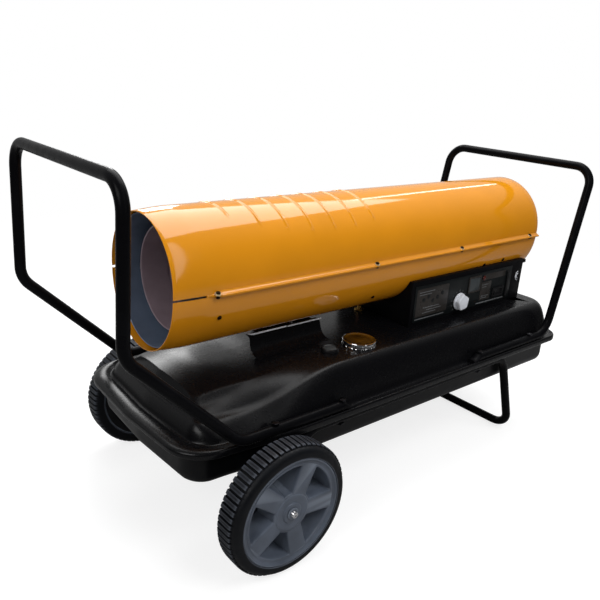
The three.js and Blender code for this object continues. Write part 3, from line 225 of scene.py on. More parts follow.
def edge_lit(name, colour, highlight_colour, rough, specular, levels):
    """Rubber or plastic with paler edges, found from the mesh's own curvature: a painted highlight along the
    edges.
    """
    look = Look(name, colour, rough, specular=specular)
    curvature = add_node(look.tree, "NewGeometry").outputs["Pointiness"]
    edges = look.ramp(curvature, 0.0, 1.0, *levels)
    base = look.ramp(edges, look.tone(colour, look.noise(30, 5), 0.85, 1.2), highlight_colour, 0.0, 1.0)
    varied = look.ramp(look.noise(60, 4), rough * 0.85, rough * 1.15)
    return look.finish(base, varied, look.noise(500, 3), 0.08 * mm, 0.3)


fine = 0.01 * mm
yellow = painted("yellow_paint", srgb(206, 133, 20), 0.4, 1.0, 0.08, 0.012 * mm, 0.0)
tank_black = painted("tank_paint", srgb(9, 9, 11), 0.27, 0.0, 0.1, 0.012 * mm, 0.2)
tray_black = painted("tray_paint", srgb(10, 10, 12), 0.34, 0.0, 0.2, 0.015 * mm, 0.14)
tube_black = powder("tube_paint", srgb(9, 9, 11), 0.3)
box_black = powder("box_paint", srgb(11, 11, 13), 0.42)
zinc = plated("zinc", srgb(150, 152, 158), 0.34)
bolt_black = plated("bolt_black", srgb(38, 38, 42), 0.3)
galvanised = plated("galvanised", srgb(112, 126, 148), 0.36, metallic=0.5)
heat_steel = plated("heat_steel", srgb(150, 132, 140), 0.4, (1, 6, 6), 0.35)
chrome = plated("chrome", srgb(214, 214, 216), 0.16)
brass = plated("brass", srgb(190, 152, 82), 0.3)
copper = plated("copper", srgb(190, 120, 84), 0.3)
cast = plated("cast_aluminium", srgb(168, 170, 174), 0.5)
black_plastic = moulded("black_plastic", srgb(12, 12, 14), 0.4)
panel_black = moulded("panel_plastic", srgb(18, 21, 22), 0.34, 0.02 * mm, 0.2)
film_grey = moulded("panel_film", srgb(44, 41, 39), 0.3, fine, 0.2)
mark_grey = moulded("panel_marks", srgb(96, 98, 100), 0.4, fine)
knob_pale = moulded("knob_plastic", srgb(212, 215, 222), 0.5, 0.1 * mm)
window_grey = moulded("window_plastic", srgb(56, 60, 62), 0.2, fine, 0.25)
red_lens = moulded("red_lens", srgb(74, 26, 22), 0.15, fine)
board_green = moulded("board", srgb(34, 92, 56), 0.4)
ceramic = moulded("ceramic", srgb(226, 222, 208), 0.5)
# The tyre's and the rim's paler edges are a painted highlight.
rubber = edge_lit("tyre_rubber", srgb(9, 11, 15), srgb(92, 97, 107), 0.5, 0.2, (0.535, 0.61))
# A darker copy of the rim's slate: painted shade, for the web in the wheel's pockets.
shaded_slate = moulded("slate_in_painted_shade", srgb(44, 48, 55), 0.5)
rim_slate = edge_lit("rim_plastic", srgb(76, 83, 95), srgb(120, 128, 140), 0.4, 0.5, (0.53, 0.62))
seal_black = moulded("seal_rubber", srgb(15, 15, 17), 0.7, specular=0.2)
# Near white: a painted highlight along the folded edge of the black support.
hem_painted_highlight = moulded("hem_painted_highlight", srgb(232, 234, 240), 0.35, fine)
screw_black = plated("screw_black", srgb(46, 34, 24), 0.4)
washer_pale = plated("washer_pale", srgb(220, 196, 150), 0.35, metallic=0.5)


# Mesh helpers
def link(name, data):
    """A new object of the scene, with its mesh, curve, lamp or camera."""
    piece = bpy.data.objects.new(name, data)
    bpy.context.scene.collection.objects.link(piece)
    return piece


def shade_smooth(mesh, sharp_deg):
    """Smooth shading that stops at edges sharper than an angle."""
    for face in mesh.polygons:
        face.use_smooth = True
    mesh.set_sharp_from_angle(angle=math.radians(sharp_deg))


def mesh_piece(name, vertices, faces, sharp_deg=34):
    mesh = bpy.data.meshes.new(name)
    mesh.from_pydata([tuple(point) for point in vertices], [], faces)
    mesh.validate()
    shade_smooth(mesh, sharp_deg)
    mesh.update()
    return link(name, mesh)


def outward(piece):
    """Turns the faces of a closed piece to point out."""
    shape = bmesh.new()
    shape.from_mesh(piece.data)
    bmesh.ops.recalc_face_normals(shape, faces=shape.faces)
    shape.to_mesh(piece.data)
    shape.free()
    return piece


def sealed(piece, distance=0.01 * mm):
    """Joins points that lie together, then turns the faces to point out."""
    shape = bmesh.new()
    shape.from_mesh(piece.data)
    bmesh.ops.remove_doubles(shape, verts=shape.verts, dist=distance)
    bmesh.ops.dissolve_degenerate(shape, edges=shape.edges, dist=distance)
    shape.to_mesh(piece.data)
    shape.free()
    return outward(piece)


def side_faces(rows, count, around=True, along=False):
    """Faces between rings of equal count: around closes each ring, along joins the last ring to the first."""
    faces = []
    for row in range(rows if along else rows - 1):
        here = row * count
        there = ((row + 1) % rows) * count
        for i in range(count if around else count - 1):
            j = (i + 1) % count
            faces.append((here + i, here + j, there + j, there + i))
    return faces


def loft(name, rings, around=True, along=False, caps=False, sharp_deg=34):
    """A surface through rings. caps closes the first and last ring with one face each."""
    count = len(rings[0])
    faces = side_faces(len(rings), count, around, along)
    if caps:
        faces.append(tuple(reversed(range(count))))
        faces.append(tuple(range((len(rings) - 1) * count, len(rings) * count)))
    return mesh_piece(name, [point for ring in rings for point in ring], faces, sharp_deg)


def capped(name, rings, sharp_deg=40):
    """A closed piece through rings, whose first and last ring are closed with strips across the middle."""
    count = len(rings[0])
    faces = side_faces(len(rings), count)
    for base, flip in ((0, True), ((len(rings) - 1) * count, False)):
        for i in range(count // 2):
            corners = [base + i, base + i + 1, base + (count - i - 1) % count, base + (count - i) % count]
            face = list(dict.fromkeys(corners))
            if len(face) > 2:
                faces.append(tuple(reversed(face)) if flip else tuple(face))
    return outward(mesh_piece(name, [point for ring in rings for point in ring], faces, sharp_deg))


def lathe(name, profile, centre, axis, steps=64):
    """A turned piece. The profile lists radius and distance along the axis, and is closed or ends on it."""
    axis = Vector(axis).normalized()
    side = axis.orthogonal().normalized()
    other = axis.cross(side)
    rings = []
    for step in range(steps):
        angle = math.tau * step / steps
        out = side * math.cos(angle) + other * math.sin(angle)
        rings.append([Vector(centre) + out * radius + axis * along for radius, along in profile])
    return sealed(loft(name, rings, around=False, along=True))


def bent_path(corners, step_deg=7):
    """Points along straight runs whose corners are rounded to a bend radius: each corner is (point, bend)."""
    points = [Vector(corners[0][0])]
    for (before, _), (corner, bend), (after, _) in zip(corners, corners[1:], corners[2:]):
        corner = Vector(corner)
        inward = (corner - Vector(before)).normalized()
        outgoing = (Vector(after) - corner).normalized()
        angle = inward.angle(outgoing)
        across = (outgoing - inward * outgoing.dot(inward)).normalized()
        start = corner - inward * bend * math.tan(angle / 2)
        centre = start + across * bend
        steps = max(2, math.ceil(math.degrees(angle) / step_deg))
        for k in range(steps + 1):
            turn = angle * k / steps
            points.append(centre - across * bend * math.cos(turn) + inward * bend * math.sin(turn))
    points.append(Vector(corners[-1][0]))
    return points


def sweep(name, points, section, squeeze=None):
    """A closed tube: a section (u, v) carried along the points. squeeze(i) gives v's scale and shift."""
    rings = []
    tangent = (points[1] - points[0]).normalized()
    up = Vector((0, 0, 1)) if abs(tangent.z) < 0.9 else Vector((0, 1, 0))
    up = (up - tangent * up.dot(tangent)).normalized()
    for i, point in enumerate(points):
        before = (point - points[i - 1]).normalized() if i else tangent
        after = (points[i + 1] - point).normalized() if i + 1 < len(points) else before
        heading = (before + after).normalized()
        up = (up - heading * up.dot(heading)).normalized()
        side = heading.cross(up)
        upright, shift = squeeze(i) if squeeze else (1, 0)
        rings.append([point + side * u + up * (v * upright + shift) for u, v in section])
    return outward(loft(name, rings, caps=True))


def at_angle(radius, angle):
    """The point (u, v) on a circle."""
    return radius * math.cos(angle), radius * math.sin(angle)


def circle(radius, sides):
    return [at_angle(radius, math.tau * i / sides) for i in range(sides)]


def flat_mesh(name, outlines, extrude=0.0, bevel=0.0, resolution=0):
    """The mesh of a sheet or plate: the first outline is its edge and the others are holes."""
    data = bpy.data.curves.new(name, "CURVE")
    data.dimensions = "2D"
    data.fill_mode = "BOTH"
    data.extrude = extrude
    data.bevel_depth = bevel
    data.bevel_resolution = resolution
    data.offset = -bevel
    for outline in outlines:
        spline = data.splines.new("POLY")
        spline.points.add(len(outline) - 1)
        for point, (u, v) in zip(spline.points, outline):
            point.co = (u, v, 0, 1)
        spline.use_cyclic_u = True
    curve = link(name, data)
    bpy.context.view_layer.update()
    mesh = bpy.data.meshes.new_from_object(curve.evaluated_get(bpy.context.evaluated_depsgraph_get()))
    bpy.data.objects.remove(curve)
    bpy.data.curves.remove(data)
    return mesh


def plate(name, outlines, depth, bevel, place, rotation, resolution=3):
    """A flat plate with rounded edges."""
    mesh = flat_mesh(name, outlines, depth / 2 - bevel, bevel, resolution)
    mesh.name = name
    mesh.transform(Matrix.Translation(Vector(place)) @ rotation)
    shade_smooth(mesh, 34)
    return sealed(link(name, mesh))


def basis(u, v, w):
    """The rotation that turns a plate's own X, Y, Z to these directions."""
    return Matrix((u, v, w)).transposed().to_4x4()


facing_left = basis((1, 0, 0), (0, 0, 1), (0, -1, 0))
facing_front = basis((0, -1, 0), (0, 0, 1), (-1, 0, 0))


def rounded(low_u, high_u, low_v, high_v, radius, steps=5):
    """A rectangle with rounded corners, as an outline."""
    left, right, bottom, top = low_u + radius, high_u - radius, low_v + radius, high_v - radius
    points = []
    for start, (u, v) in enumerate(((right, top), (left, top), (left, bottom), (right, bottom))):
        for k in range(steps + 1):
            across, along = at_angle(radius, (start + k / steps) * math.pi / 2)
            points.append((u + across, v + along))
    return points


def give_material(piece, material):
    piece.data.materials.clear()
    piece.data.materials.append(material)


def settle(piece, body, slot, material, *nodes):
    """Gives a piece its material, its body, and the frame nodes that it stands for. The slot is not used."""
    give_material(piece, material)
    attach(piece, body)
    if nodes:
        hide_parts(*nodes)
    return piece


def dress(node, material, bevel):
    """A frame node that stays: welded, softened along its edges, and given its material."""
    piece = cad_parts[node]
    give_material(piece, material)
    for face in piece.data.polygons:
        face.use_smooth = True
    weld = piece.modifiers.new("weld", "WELD")
    weld.merge_threshold = 0.005 * mm
    soften = piece.modifiers.new("soften", "BEVEL")
    soften.width = bevel
    soften.segments = 2
    soften.limit_method = "ANGLE"
    soften.angle_limit = math.radians(40)
    soften.use_clamp_overlap = True
    split = piece.modifiers.new("split", "EDGE_SPLIT")
    split.split_angle = math.radians(38)


# Housing halves
def upper_point(share, radius):
    """A point (y, z) of the round upper half; share runs from the left seam over the crown to the right."""
    dip = math.asin(shell.rise / radius)
    angle = math.pi + dip - (math.pi + 2 * dip) * share
    return radius * math.cos(angle), axis_z + radius * math.sin(angle)


def lower_point(share, offset):
    """A point (y, z) of the oval lower half; share runs from the left seam under the bottom to the right."""
    radius = shell.radius + offset
    half = math.sqrt(radius ** 2 - shell.rise ** 2)
    angle = math.pi + math.pi * share
    return half * math.cos(angle), seam_z + (shell.depth + offset) * math.sin(angle)


def smooth(value):
    """A soft rise from 0 to 1."""
    value = min(1, max(0, value))
    return value * value * (3 - 2 * value)


def rib_middle(k):
    """Where a rib lies along the housing."""
    return front_x + rib.first + k * rib.pitch


def rib_height(x, angle_deg):
    """Height of the pressed beads at a place on the crown; angle from the top, in degrees."""
    taper_deg = math.degrees(rib.taper / shell.radius)
    for k, reach_deg in enumerate(rib_reach_deg):
        away = abs(x - rib_middle(k)) / (rib.width / 2)
        if away < 1:
            ends = smooth((reach_deg - abs(angle_deg)) / taper_deg)
            return rib.height * ends * (math.cos(math.pi * away) + 1) / 2
    return 0


def housing_stations(spacing=20 * mm, closest=0.5 * mm):
    """Places along the housing: close together over the ribs and near the ends."""
    spots = {front_x, front_x + shell.hem, rear_x - shell.hem, rear_x}
    spots.update(front_x + shell.turned * i / 8 for i in range(1, 9))
    count = round((rear_x - front_x) / spacing)
    spots.update(front_x + (rear_x - front_x) * i / count for i in range(1, count))
    for k in range(len(rib_reach_deg)):
        spots.update(rib_middle(k) + rib.width * i / 12 for i in range(-7, 8))
    ordered = sorted(spots)
    kept = [ordered[0]]
    for spot in ordered[1:]:
        if spot - kept[-1] > closest:
            kept.append(spot)
    kept[-1] = rear_x
    return kept


def housing_point(x, share, upper, wall=0.0, tuck=0.0):
    """A point of one half's sheet, at a depth in its wall; tuck draws the sheet in at its two ends."""
    turned = shell.turn * max(0, 1 - (x - front_x) / shell.turned) ** 1.4
    slit = shell.slit if x < front_x + shell.flange_start else fit / 2
    if not upper:
        y, z = lower_point(share, -wall - tuck - turned)
        return Vector((x, y, min(z, seam_z - slit)))
    y, z = upper_point(share, shell.radius - wall)
    out = Vector((y, z - axis_z)).normalized()
    lift = rib_height(x, math.degrees(math.atan2(y, z - axis_z))) - tuck - turned
    return Vector((x, y + out.x * lift, max(z + out.y * lift, seam_z + slit)))


def half_housing(name, upper, steps=120):
    """One housing half as a thin closed sheet with a hemmed edge."""
    rings = []
    for x in housing_stations():
        tuck = shell.hem * 0.4 if x in (front_x, rear_x) else 0.0
        outer = [housing_point(x, i / steps, upper, 0.0, tuck) for i in range(steps + 1)]
        inner = [housing_point(x, i / steps, upper, sheet) for i in range(steps, -1, -2)]
        rings.append(outer + inner)
    return outward(loft(name, rings, caps=True, sharp_deg=50))


seam_half = math.sqrt(shell.radius ** 2 - shell.rise ** 2)


def seam_flange(name, side, upper, ramp=34 * mm, ramp_lead=10 * mm, steps=8):
    """The flange along one seam: the sheet slopes out of the housing and ends in a plain edge."""
    sign = 1 if upper else -1
    base = seam_z + sign * fit / 2
    root = shell.root if upper else shell.root * 0.6
    full = front_x + shell.flange_start
    start = full - ramp_lead
    stations = [start + ramp * i / steps for i in range(steps + 1)]
    stations += [full + shell.flange_full, (full + rear_x) / 2, rear_x - shell.flange_end]
    rings = []
    for x in stations:
        grown = smooth((x - start) / ramp)
        reach = shell.flange * grown + fit
        rise = root * max(grown, 0.1)
        profile = [(seam_half - sheet, base)]
        edge = [(-0.3, 0), (0, 0.4 * sign), (0, 1.1 * sign), (-0.3, 1.4 * sign)]
        profile += points_mm(edge, seam_half + reach, base)
        for k in range(steps + 1):
            t = k / steps
            profile.append((seam_half + reach * (1 - t) ** 1.15 * 0.93 + shell.overlap,
                            base + sign * (sheet + rise * (t * 0.72 + 0.28 * t ** 4))))
        profile.append((seam_half - sheet, base + sign * (sheet + rise)))
        rings.append([Vector((x, side * y, z)) for y, z in profile])
    return outward(loft(name, rings, caps=True, sharp_deg=50))


sides = ((-1, "left"), (1, "right"))
halves = ((True, "upper"), (False, "lower"))
for upper, half_name in halves:
    piece = half_housing(f"{half_name}_housing", upper)
    settle(piece, "chassis", "yellow_paint", yellow, f"{half_name}_shell")
for side, word in sides:
    for upper, half_name in halves:
        piece = seam_flange(f"{half_name}_flange_{word}", side, upper)
        settle(piece, "chassis", "yellow_paint", yellow, f"{half_name}_shell")


def screw(name, place, direction, radius=3.8 * mm, height=2.6 * mm):
    """A pan-head screw with a round recess, standing on a surface."""
    profile = [(0, -height), (radius * 0.5, -height), (radius * 0.5, 0), (radius, 0), (radius, height * 0.35),
               (radius * 0.86, height * 0.75), (radius * 0.5, height), (radius * 0.34, height),
               (radius * 0.2, height * 0.4), (0, height * 0.4)]
    settle(lathe(name, profile, place, direction, 20), "chassis", "bright_steel", screw_black)


# Screws along the seam flanges by X, and on the lower half by X and Z
flange_screw_x = lengths(-399, -20, 255, 531)
lower_screws = points_mm([(-387, 432), (12, 395), (379, 420), (454, 424)])
washer_profile = points_mm([(0, -2), (5.6, -2), (5.6, 0), (5.2, 0.4), (0, 0.4), (0, -2)])
washer_stand = 3 * mm
big_head, tall_head = 4.2 * mm, 3.4 * mm
screw_lean = 0.3
for side, word in sides:
    y = side * (seam_half + shell.flange * 0.55)
    leaning = (0, side * screw_lean, 1)
    for k, x in enumerate(flange_screw_x):
        top = (x, y, seam_z + sheet + washer_stand)
        washer = lathe(f"flange_washer_{word}_{k}", washer_profile, top, leaning, 24)
        settle(washer, "chassis", "bright_steel", washer_pale)
        screw(f"flange_screw_{word}_{k}", top, leaning, big_head, tall_head)
        screw(f"flange_nut_{word}_{k}", (x, y, seam_z - sheet - fit), (0, 0, -1), height=tall_head)
    for k, (x, z) in enumerate(lower_screws):
        half = seam_half * math.sin(math.acos((seam_z - z) / shell.depth))
        out = Vector((0, half / seam_half ** 2, (z - seam_z) / shell.depth ** 2)).normalized()
        screw(f"lower_screw_{word}_{k}", (x, side * half, z), (0, side * out.y, out.z), big_head)


# Outlet: liner, chamber, straps
def sleeve(name, x0, x1, offset, wall, edge=0.8 * mm, steps=96):
    """A sleeve with the housing's own section, inset by an offset, with a rolled front edge."""
    rings = []
    corners = [(x0, 0), (x0 + edge, edge / 2), (x1, edge / 2), (x1, -wall), (x0 + edge, -wall),
               (x0, -wall / 2)]
    for x, extra in corners:
        section = [upper_point(i / steps, shell.radius + offset + extra) for i in range(steps)]
        section += [lower_point(1 - i / steps, offset + extra) for i in range(steps)]
        rings.append([Vector((x, y, z)) for y, z in section])
    return outward(loft(name, rings, along=True))


liner_low, liner_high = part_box("heat_liner")
chamber_low, chamber_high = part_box("combustion_chamber")
liner = Sizes(offset=-8, wall=1.2)
piece = sleeve("outlet_liner", liner_low.x, liner_high.x, liner.offset, liner.wall)
settle(piece, "chassis", "galvanised", galvanised, "heat_liner")

chamber = Sizes(radius=95, wall=1.5, throat=46, bead=2.2, bead_step=1.5, end=2)
bead_places = lengths(60, 200, 340)


def bead_row(radius, middle, heading):
    """A rolled bead of the can's wall, as radius and place along it; heading is 1 or -1."""
    points = []
    for k in range(-4, 5):
        swell = (math.cos(math.pi * k / 4) + 1) / 2
        points.append((radius + chamber.bead * swell, middle + heading * k * chamber.bead_step))
    return points


length = chamber_high.x - chamber_low.x
bore = chamber.radius - chamber.wall
can_profile = points_mm([(0, 5), (0, 2.2), (0.3, 0.7)], bore)
can_profile += points_mm([(0, 0), (1.3, 0.4), (2.2, 1.5), (2.2, 2.7), (1.3, 3.8), (0, 4.2)], chamber.radius)
for middle in bead_places:
    can_profile += bead_row(chamber.radius, middle, 1)
can_profile += [(chamber.radius, length), (chamber.throat, length), (chamber.throat, length - chamber.end),
                (bore, length - chamber.end)]
for middle in reversed(bead_places):
    can_profile += bead_row(bore, middle, -1)
can_profile.append(can_profile[0])
piece = lathe("chamber_can", can_profile, (chamber_low.x, 0, burner_z), (1, 0, 0), 96)
settle(piece, "chassis", "heat_steel", heat_steel, "combustion_chamber")

strap = Sizes(width=10, inset=10, thickness=1.6, foot=12, bend=3, near_gap=0.4, far_gap=0.6)


def strap_piece(name, x, near, far, direction, turn):
    """A bent strip between the chamber and the sleeve round it, with a foot on both."""
    w = Vector(direction)
    side = Vector(turn)
    start = Vector((x, 0, burner_z)) + w * near
    end = Vector((x, 0, burner_z)) + w * far
    path = bent_path([(start + side * strap.foot, 0), (start, strap.bend), (end, strap.bend),
                      (end - side * strap.foot, 0)])
    half_width, half = strap.width / 2, strap.thickness / 2
    rings = []
    for i, point in enumerate(path):
        before = path[max(0, i - 1)]
        after = path[min(len(path) - 1, i + 1)]
        across = (after - before).normalized().cross(Vector((1, 0, 0)))
        rings.append([point + Vector((u * half_width, 0, 0)) + across * v * half
                      for u, v in ((-1, -1), (1, -1), (1, 1), (-1, 1))])
    return outward(loft(name, rings, caps=True))


reach_up = axis_z + shell.radius + liner.offset - liner.wall - burner_z
reach_side = seam_half + liner.offset - liner.wall
near = chamber.radius + strap.thickness / 2 + strap.near_gap
strap_x = chamber_low.x + strap.inset
for name, far, direction, turn in (
    ("top", reach_up, (0, 0, 1), (0, 1, 0)), ("bottom", reach_up, (0, 0, -1), (0, 1, 0)),
    ("left", reach_side, (0, -1, 0), (0, 0, 1)), ("right", reach_side, (0, 1, 0), (0, 0, 1)),
):
    end = far - strap.thickness / 2 - strap.far_gap
    piece = strap_piece(f"chamber_strap_{name}", strap_x, near, end, direction, turn)
    settle(piece, "chassis", "heat_steel", zinc, "combustion_chamber")


# Tank: where the crown's rings lie at the nose and at the rear, for their inset at the sides, in mm
nose_insets = [(0, 0), (20, 36), (63, 55), (104, 72), (200, 185)]
rear_insets = [(0, 0), (20, 11), (63, 24), (104, 60), (200, 170)]


def between(table, inset):
    """The value for an inset, read from a table of both in mm."""
    for (low, low_value), (high, high_value) in zip(table, table[1:]):
        if inset <= high * mm:
            share = (inset - low * mm) / ((high - low) * mm)
            return (low_value + (high_value - low_value) * share) * mm
    return inset


def plan_half(inset, crown=False, nose_steps=9, corner_steps=12, stations=64):
    """The outline's right half from the nose to the rear, in X and Y, inset from the flange's edge."""
    front = tank_low.x + (between(nose_insets, inset) if crown else inset)
    rear = tank_high.x - (between(rear_insets, inset) if crown else inset)
    side = tank_high.y - inset
    nose = side - tank.nose_taper
    front_corner = max(tank.front_corner - inset, tank.front_corner / 4)
    rear_corner = max(tank.rear_corner - inset, tank.rear_corner * (0.66 if crown else 0.25))
    corner_angles = [math.pi / 2 * i / corner_steps for i in range(corner_steps + 1)]
    points = [(front + tank.nose_bow * i / nose_steps, (nose - front_corner) * i / nose_steps)
              for i in range(nose_steps)]
    for angle in corner_angles:
        points.append((front + tank.nose_bow + front_corner * (1 - math.cos(angle)),
                       nose - front_corner * (1 - math.sin(angle))))
    first = tank_low.x + tank.nose_bow + tank.front_corner
    last = tank_high.x - tank.rear_corner
    for i in range(1, stations):
        x = first + (last - first) * i / stations
        widened = smooth((x - front - front_corner) / (tank.nose_length * 1.35))
        points.append((x, nose + tank.nose_taper * widened))
    for angle in corner_angles:
        points.append((rear - rear_corner * (1 - math.sin(angle)),
                       side - rear_corner * (1 - math.cos(angle))))
    points.append((rear, 0))
    return points


def soft_step(value, rounding):
    """A straight rise from 0 to 1 whose two ends are rounded off."""
    def lift(v):
        if v < -rounding:
            return 0
        if v < rounding:
            return (v + rounding) ** 2 / (4 * rounding)
        return v
    return lift(value) - lift(value - 1)


def shoulder_share(x):
    """Height of the crown's shoulder: a step at the nose, a ramp behind the outlet, then level."""
    ramp_front = tank_low.x + tank.ramp_start
    nose_share = tank.nose_rise / tank.height
    return nose_share + (1 - nose_share) * smooth((x - ramp_front) / (tank.ramp_end - ramp_front))


def top_share(x):
    """Height of the crown's top face, which starts higher and climbs more evenly."""
    top_front = tank_low.x + between(nose_insets, tank.top_inset)
    span = tank.top_end - top_front
    value = (x - top_front) / span
    front_share = tank.top_rise / tank.height
    climb = 0.35 * smooth(value) + 0.65 * soft_step(value, tank.ramp_round / span)
    return front_share + (1 - front_share) * climb


def top_height(x, y):
    """The top face above the flange: crowned at the nose, flat behind."""
    dome = tank.dome * (1 - smooth((x - tank.dome_start) / (tank.dome_end - tank.dome_start)))
    across = y / (tank_high.y - tank.top_inset)
    return crown_rise * top_share(x) + dome * max(0, 1 - across ** 2)


def whole_ring(half):
    """The ring of a right half and its mirror on the left."""
    return half + [Vector((p.x, -p.y, p.z)) for p in reversed(half[1:-1])]


def plan_ring(inset, height, crown=False):
    """A ring of the outline whose height changes along the tank."""
    return whole_ring([Vector((x, y, height(x))) for x, y in plan_half(inset, crown)])


def level_ring(inset, z, crown=False):
    """A ring of the outline at one height."""
    return plan_ring(inset, lambda x: z, crown)


# The crown's cross-section from the flange inwards: across and up, both as shares
crown_shares = [(0.0, 0.0), (0.05, 0.025), (0.1, 0.09), (0.16, 0.2), (0.23, 0.35), (0.3, 0.48), (0.38, 0.61),
                (0.47, 0.735), (0.56, 0.83), (0.66, 0.905), (0.77, 0.955), (0.88, 0.985), (1.0, 1.0)]
crown_rise = tank_high.z - flange_top
wall_run = tank.shoulder - tank.flange
lean_start, lean_share = 0.6, 0.16


def crown_ring(across, up, drop=0.0):
    """A ring of the crown's wall; above the middle it leans over towards the top face."""
    inset = tank.flange + across * wall_run
    lean = max(0, (across - lean_start) / 0.4) * lean_share

    def height(x):
        shoulder, top = shoulder_share(x), top_share(x)
        return flange_top - drop + crown_rise * (up * shoulder + lean * (top - shoulder))
    return plan_ring(inset + drop, height, True)


def top_ring(inset, share, drop=0.0):
    """A ring of the slope between the shoulder and the top face, or of the top face where share is 1."""
    half = []
    for x, y in plan_half(inset + drop, True):
        shoulder = crown_rise * shoulder_share(x)
        half.append(Vector((x, y, flange_top - drop + shoulder + share * (top_height(x, y) - shoulder))))
    return whole_ring(half)


def slope_ring(share, drop=0.0):
    """A ring between the shoulder, share 0, and the edge of the top face, share 1."""
    inset = tank.shoulder + share * (tank.top_inset - tank.shoulder)
    return top_ring(inset, 0.16 + 0.84 * share * (1.25 - 0.25 * share), drop)


# The flange's outer edge from the crown outwards: at the sides an inset in mm and a share of the bead's
# height, at the nose a share of the flange's width and of the roll's height
side_bead = [(9.5, 0), (8.2, 0.1), (7, 0.36), (5.8, 0.72), (4.6, 0.94), (3.6, 1), (2.5, 0.94), (1.5, 0.74),
             (0.7, 0.42), (0.2, 0)]
nose_bead = [(0.93, 0), (0.86, 0.3), (0.77, 0.68), (0.65, 0.92), (0.5, 1), (0.36, 0.97), (0.22, 0.78),
             (0.1, 0.34), (0.04, -0.1), (0.008, -0.5)]
hem_points = points_mm([(0, -3.4), (0, -7.6), (0.4, -9.6), (1.3, -10.6), (2.2, -10), (2.4, -8.4),
                        (2.4, -1.5)])
top_insets = lengths(206, 200, 190, 180, 170, 160, 150, 140, 131, 122, 114, 108)
slope_shares = [1, 0.9, 0.8, 0.68, 0.55, 0.42, 0.28, 0.14]
crown_foot_inset = 19.4 * mm
nose_zone, nose_blend = 95 * mm, 50 * mm


def edge_ring(side_point, nose_point):
    """A ring of the flange's edge, which changes from the side's section to the nose's section."""
    side_half = plan_half(side_point[0] * mm)
    nose_half = plan_half(nose_point[0] * tank.flange, True)
    half = []
    for (x, y), (nose_x, nose_y) in zip(side_half, nose_half):
        share = smooth((tank_low.x + nose_zone - x) / nose_blend)
        height = tank.bead * side_point[1] * (1 - share) + tank.nose_bead * nose_point[1] * share
        half.append(Vector((x + (nose_x - x) * share, y + (nose_y - y) * share, flange_top + height)))
    return whole_ring(half)


top_rings = [top_ring(inset, 1) for inset in top_insets]
top_rings += [slope_ring(share) for share in slope_shares]
top_rings += [crown_ring(across, up) for across, up in reversed(crown_shares)]
top_rings.append(level_ring(crown_foot_inset, flange_top, True))
top_rings += [edge_ring(side_point, nose_point) for side_point, nose_point in zip(side_bead, nose_bead)]
top_rings += [level_ring(inset, flange_top + drop) for inset, drop in hem_points]
top_rings.append(level_ring(tank.flange + sheet, parting_z + fit / 2))
top_rings += [crown_ring(across, up, sheet) for across, up in crown_shares[2::5]]
top_rings.append(slope_ring(1, sheet))
settle(capped("tank_top", top_rings), "chassis", "black_paint", tank_black, "tank_upper")


def round_rings(inset, z, radius, steps):
    """Rings from the flat bottom up round its edge."""
    rings = []
    for i in range(steps + 1):
        angle = math.pi / 2 * i / steps
        rings.append(level_ring(inset + radius * (1 - math.sin(angle)), z + radius * (1 - math.cos(angle))))
    return rings


tray_rings = round_rings(tank.wall, tank_low.z, tank.bottom_edge, 10)
under = parting_z - fit / 2
lip_round = 4 * mm
for k in range(4):
    angle = math.pi / 2 * k / 3
    tray_rings.append(level_ring(tank.wall - lip_round * (1 - math.cos(angle)),
                                 under - sheet - lip_round * (1 - math.sin(angle))))
edge = tank.hem + fit
lip = points_mm([(0.5, 0), (0, 0.4)], edge, under - sheet) + points_mm([(0, -0.4), (0.4, 0)], edge, under)
tray_rings += [level_ring(inset, z) for inset, z in lip]
tray_rings.append(level_ring(tank.wall + sheet, under))
tray_rings += reversed(round_rings(tank.wall + sheet, tank_low.z + sheet, tank.bottom_edge - sheet, 4))
settle(capped("tank_tray", tray_rings), "chassis", "black_paint", tray_black, "tank_lower")


# Handles and frame: bent tubes
def loop_path(corners, step_deg=6):
    """The path of a tube whose right half mirrors its left half."""
    mirrored = [((x, -y, z), bend) for (x, y, z), bend in reversed(corners)]
    return bent_path(corners + mirrored, step_deg)


def flat_ends(points, length, flat=0.42):
    """How much a tube is pressed flat near its two ends, resting on the same plane."""
    def squeeze(i):
        away = min((points[i] - points[0]).length, (points[i] - points[-1]).length)
        upright = 1 - (1 - flat) * (1 - smooth((away - length * 0.35) / (length * 0.65)))
        return upright, -tube.radius * (1 - upright)
    return squeeze


def dense(points, near_end=44 * mm, spacing=5 * mm):
    """The same path with more points near both ends."""
    count = round(near_end / spacing)
    heading = (points[1] - points[0]).normalized()
    start = [points[0] + heading * spacing * i for i in range(count)]
    heading = (points[-2] - points[-1]).normalized()
    end = [points[-1] + heading * spacing * i for i in reversed(range(count))]
    return start + points[1:-1] + end


front_run_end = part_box("front_handle")[1].x
rear_run_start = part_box("rear_handle")[0].x
front = Sizes(height=448, knee=199, lean=7, relief=0.64, run=261, bend=50, corner=45)
rear = Sizes(height=412, lean=80, run=304, bend=50, corner=45)
leg = Sizes(slope=78, reach=205, rail_start=96, foot_bend=45, tail_bend=50, past_axle=12)
left = -tube.track
front_post = -cad_box[1].x + tube.radius - front.relief
rear_run_end = rear_run_start + rear.run
handles = {
    "front_handle": [
        ((front_run_end, left, run_z), 0), ((front_run_end - front.run, left, run_z), front.bend),
        ((front_post, left, run_z + front.knee), front.bend),
        ((front_post + front.lean, left, run_z + front.height), front.corner),
    ],
    "rear_handle": [
        ((rear_run_start, left, run_z), 0), ((rear_run_end, left, run_z), rear.bend),
        ((rear_run_end + rear.lean, left, run_z + rear.height), rear.corner),
    ],
}
tube_section = circle(tube.radius, 28)
for node, corners in handles.items():
    path = dense(loop_path(corners))
    piece = sweep(f"{node}_tube", path, tube_section, flat_ends(path, tube.end))
    settle(piece, "chassis", "black_paint", tube_black, node)

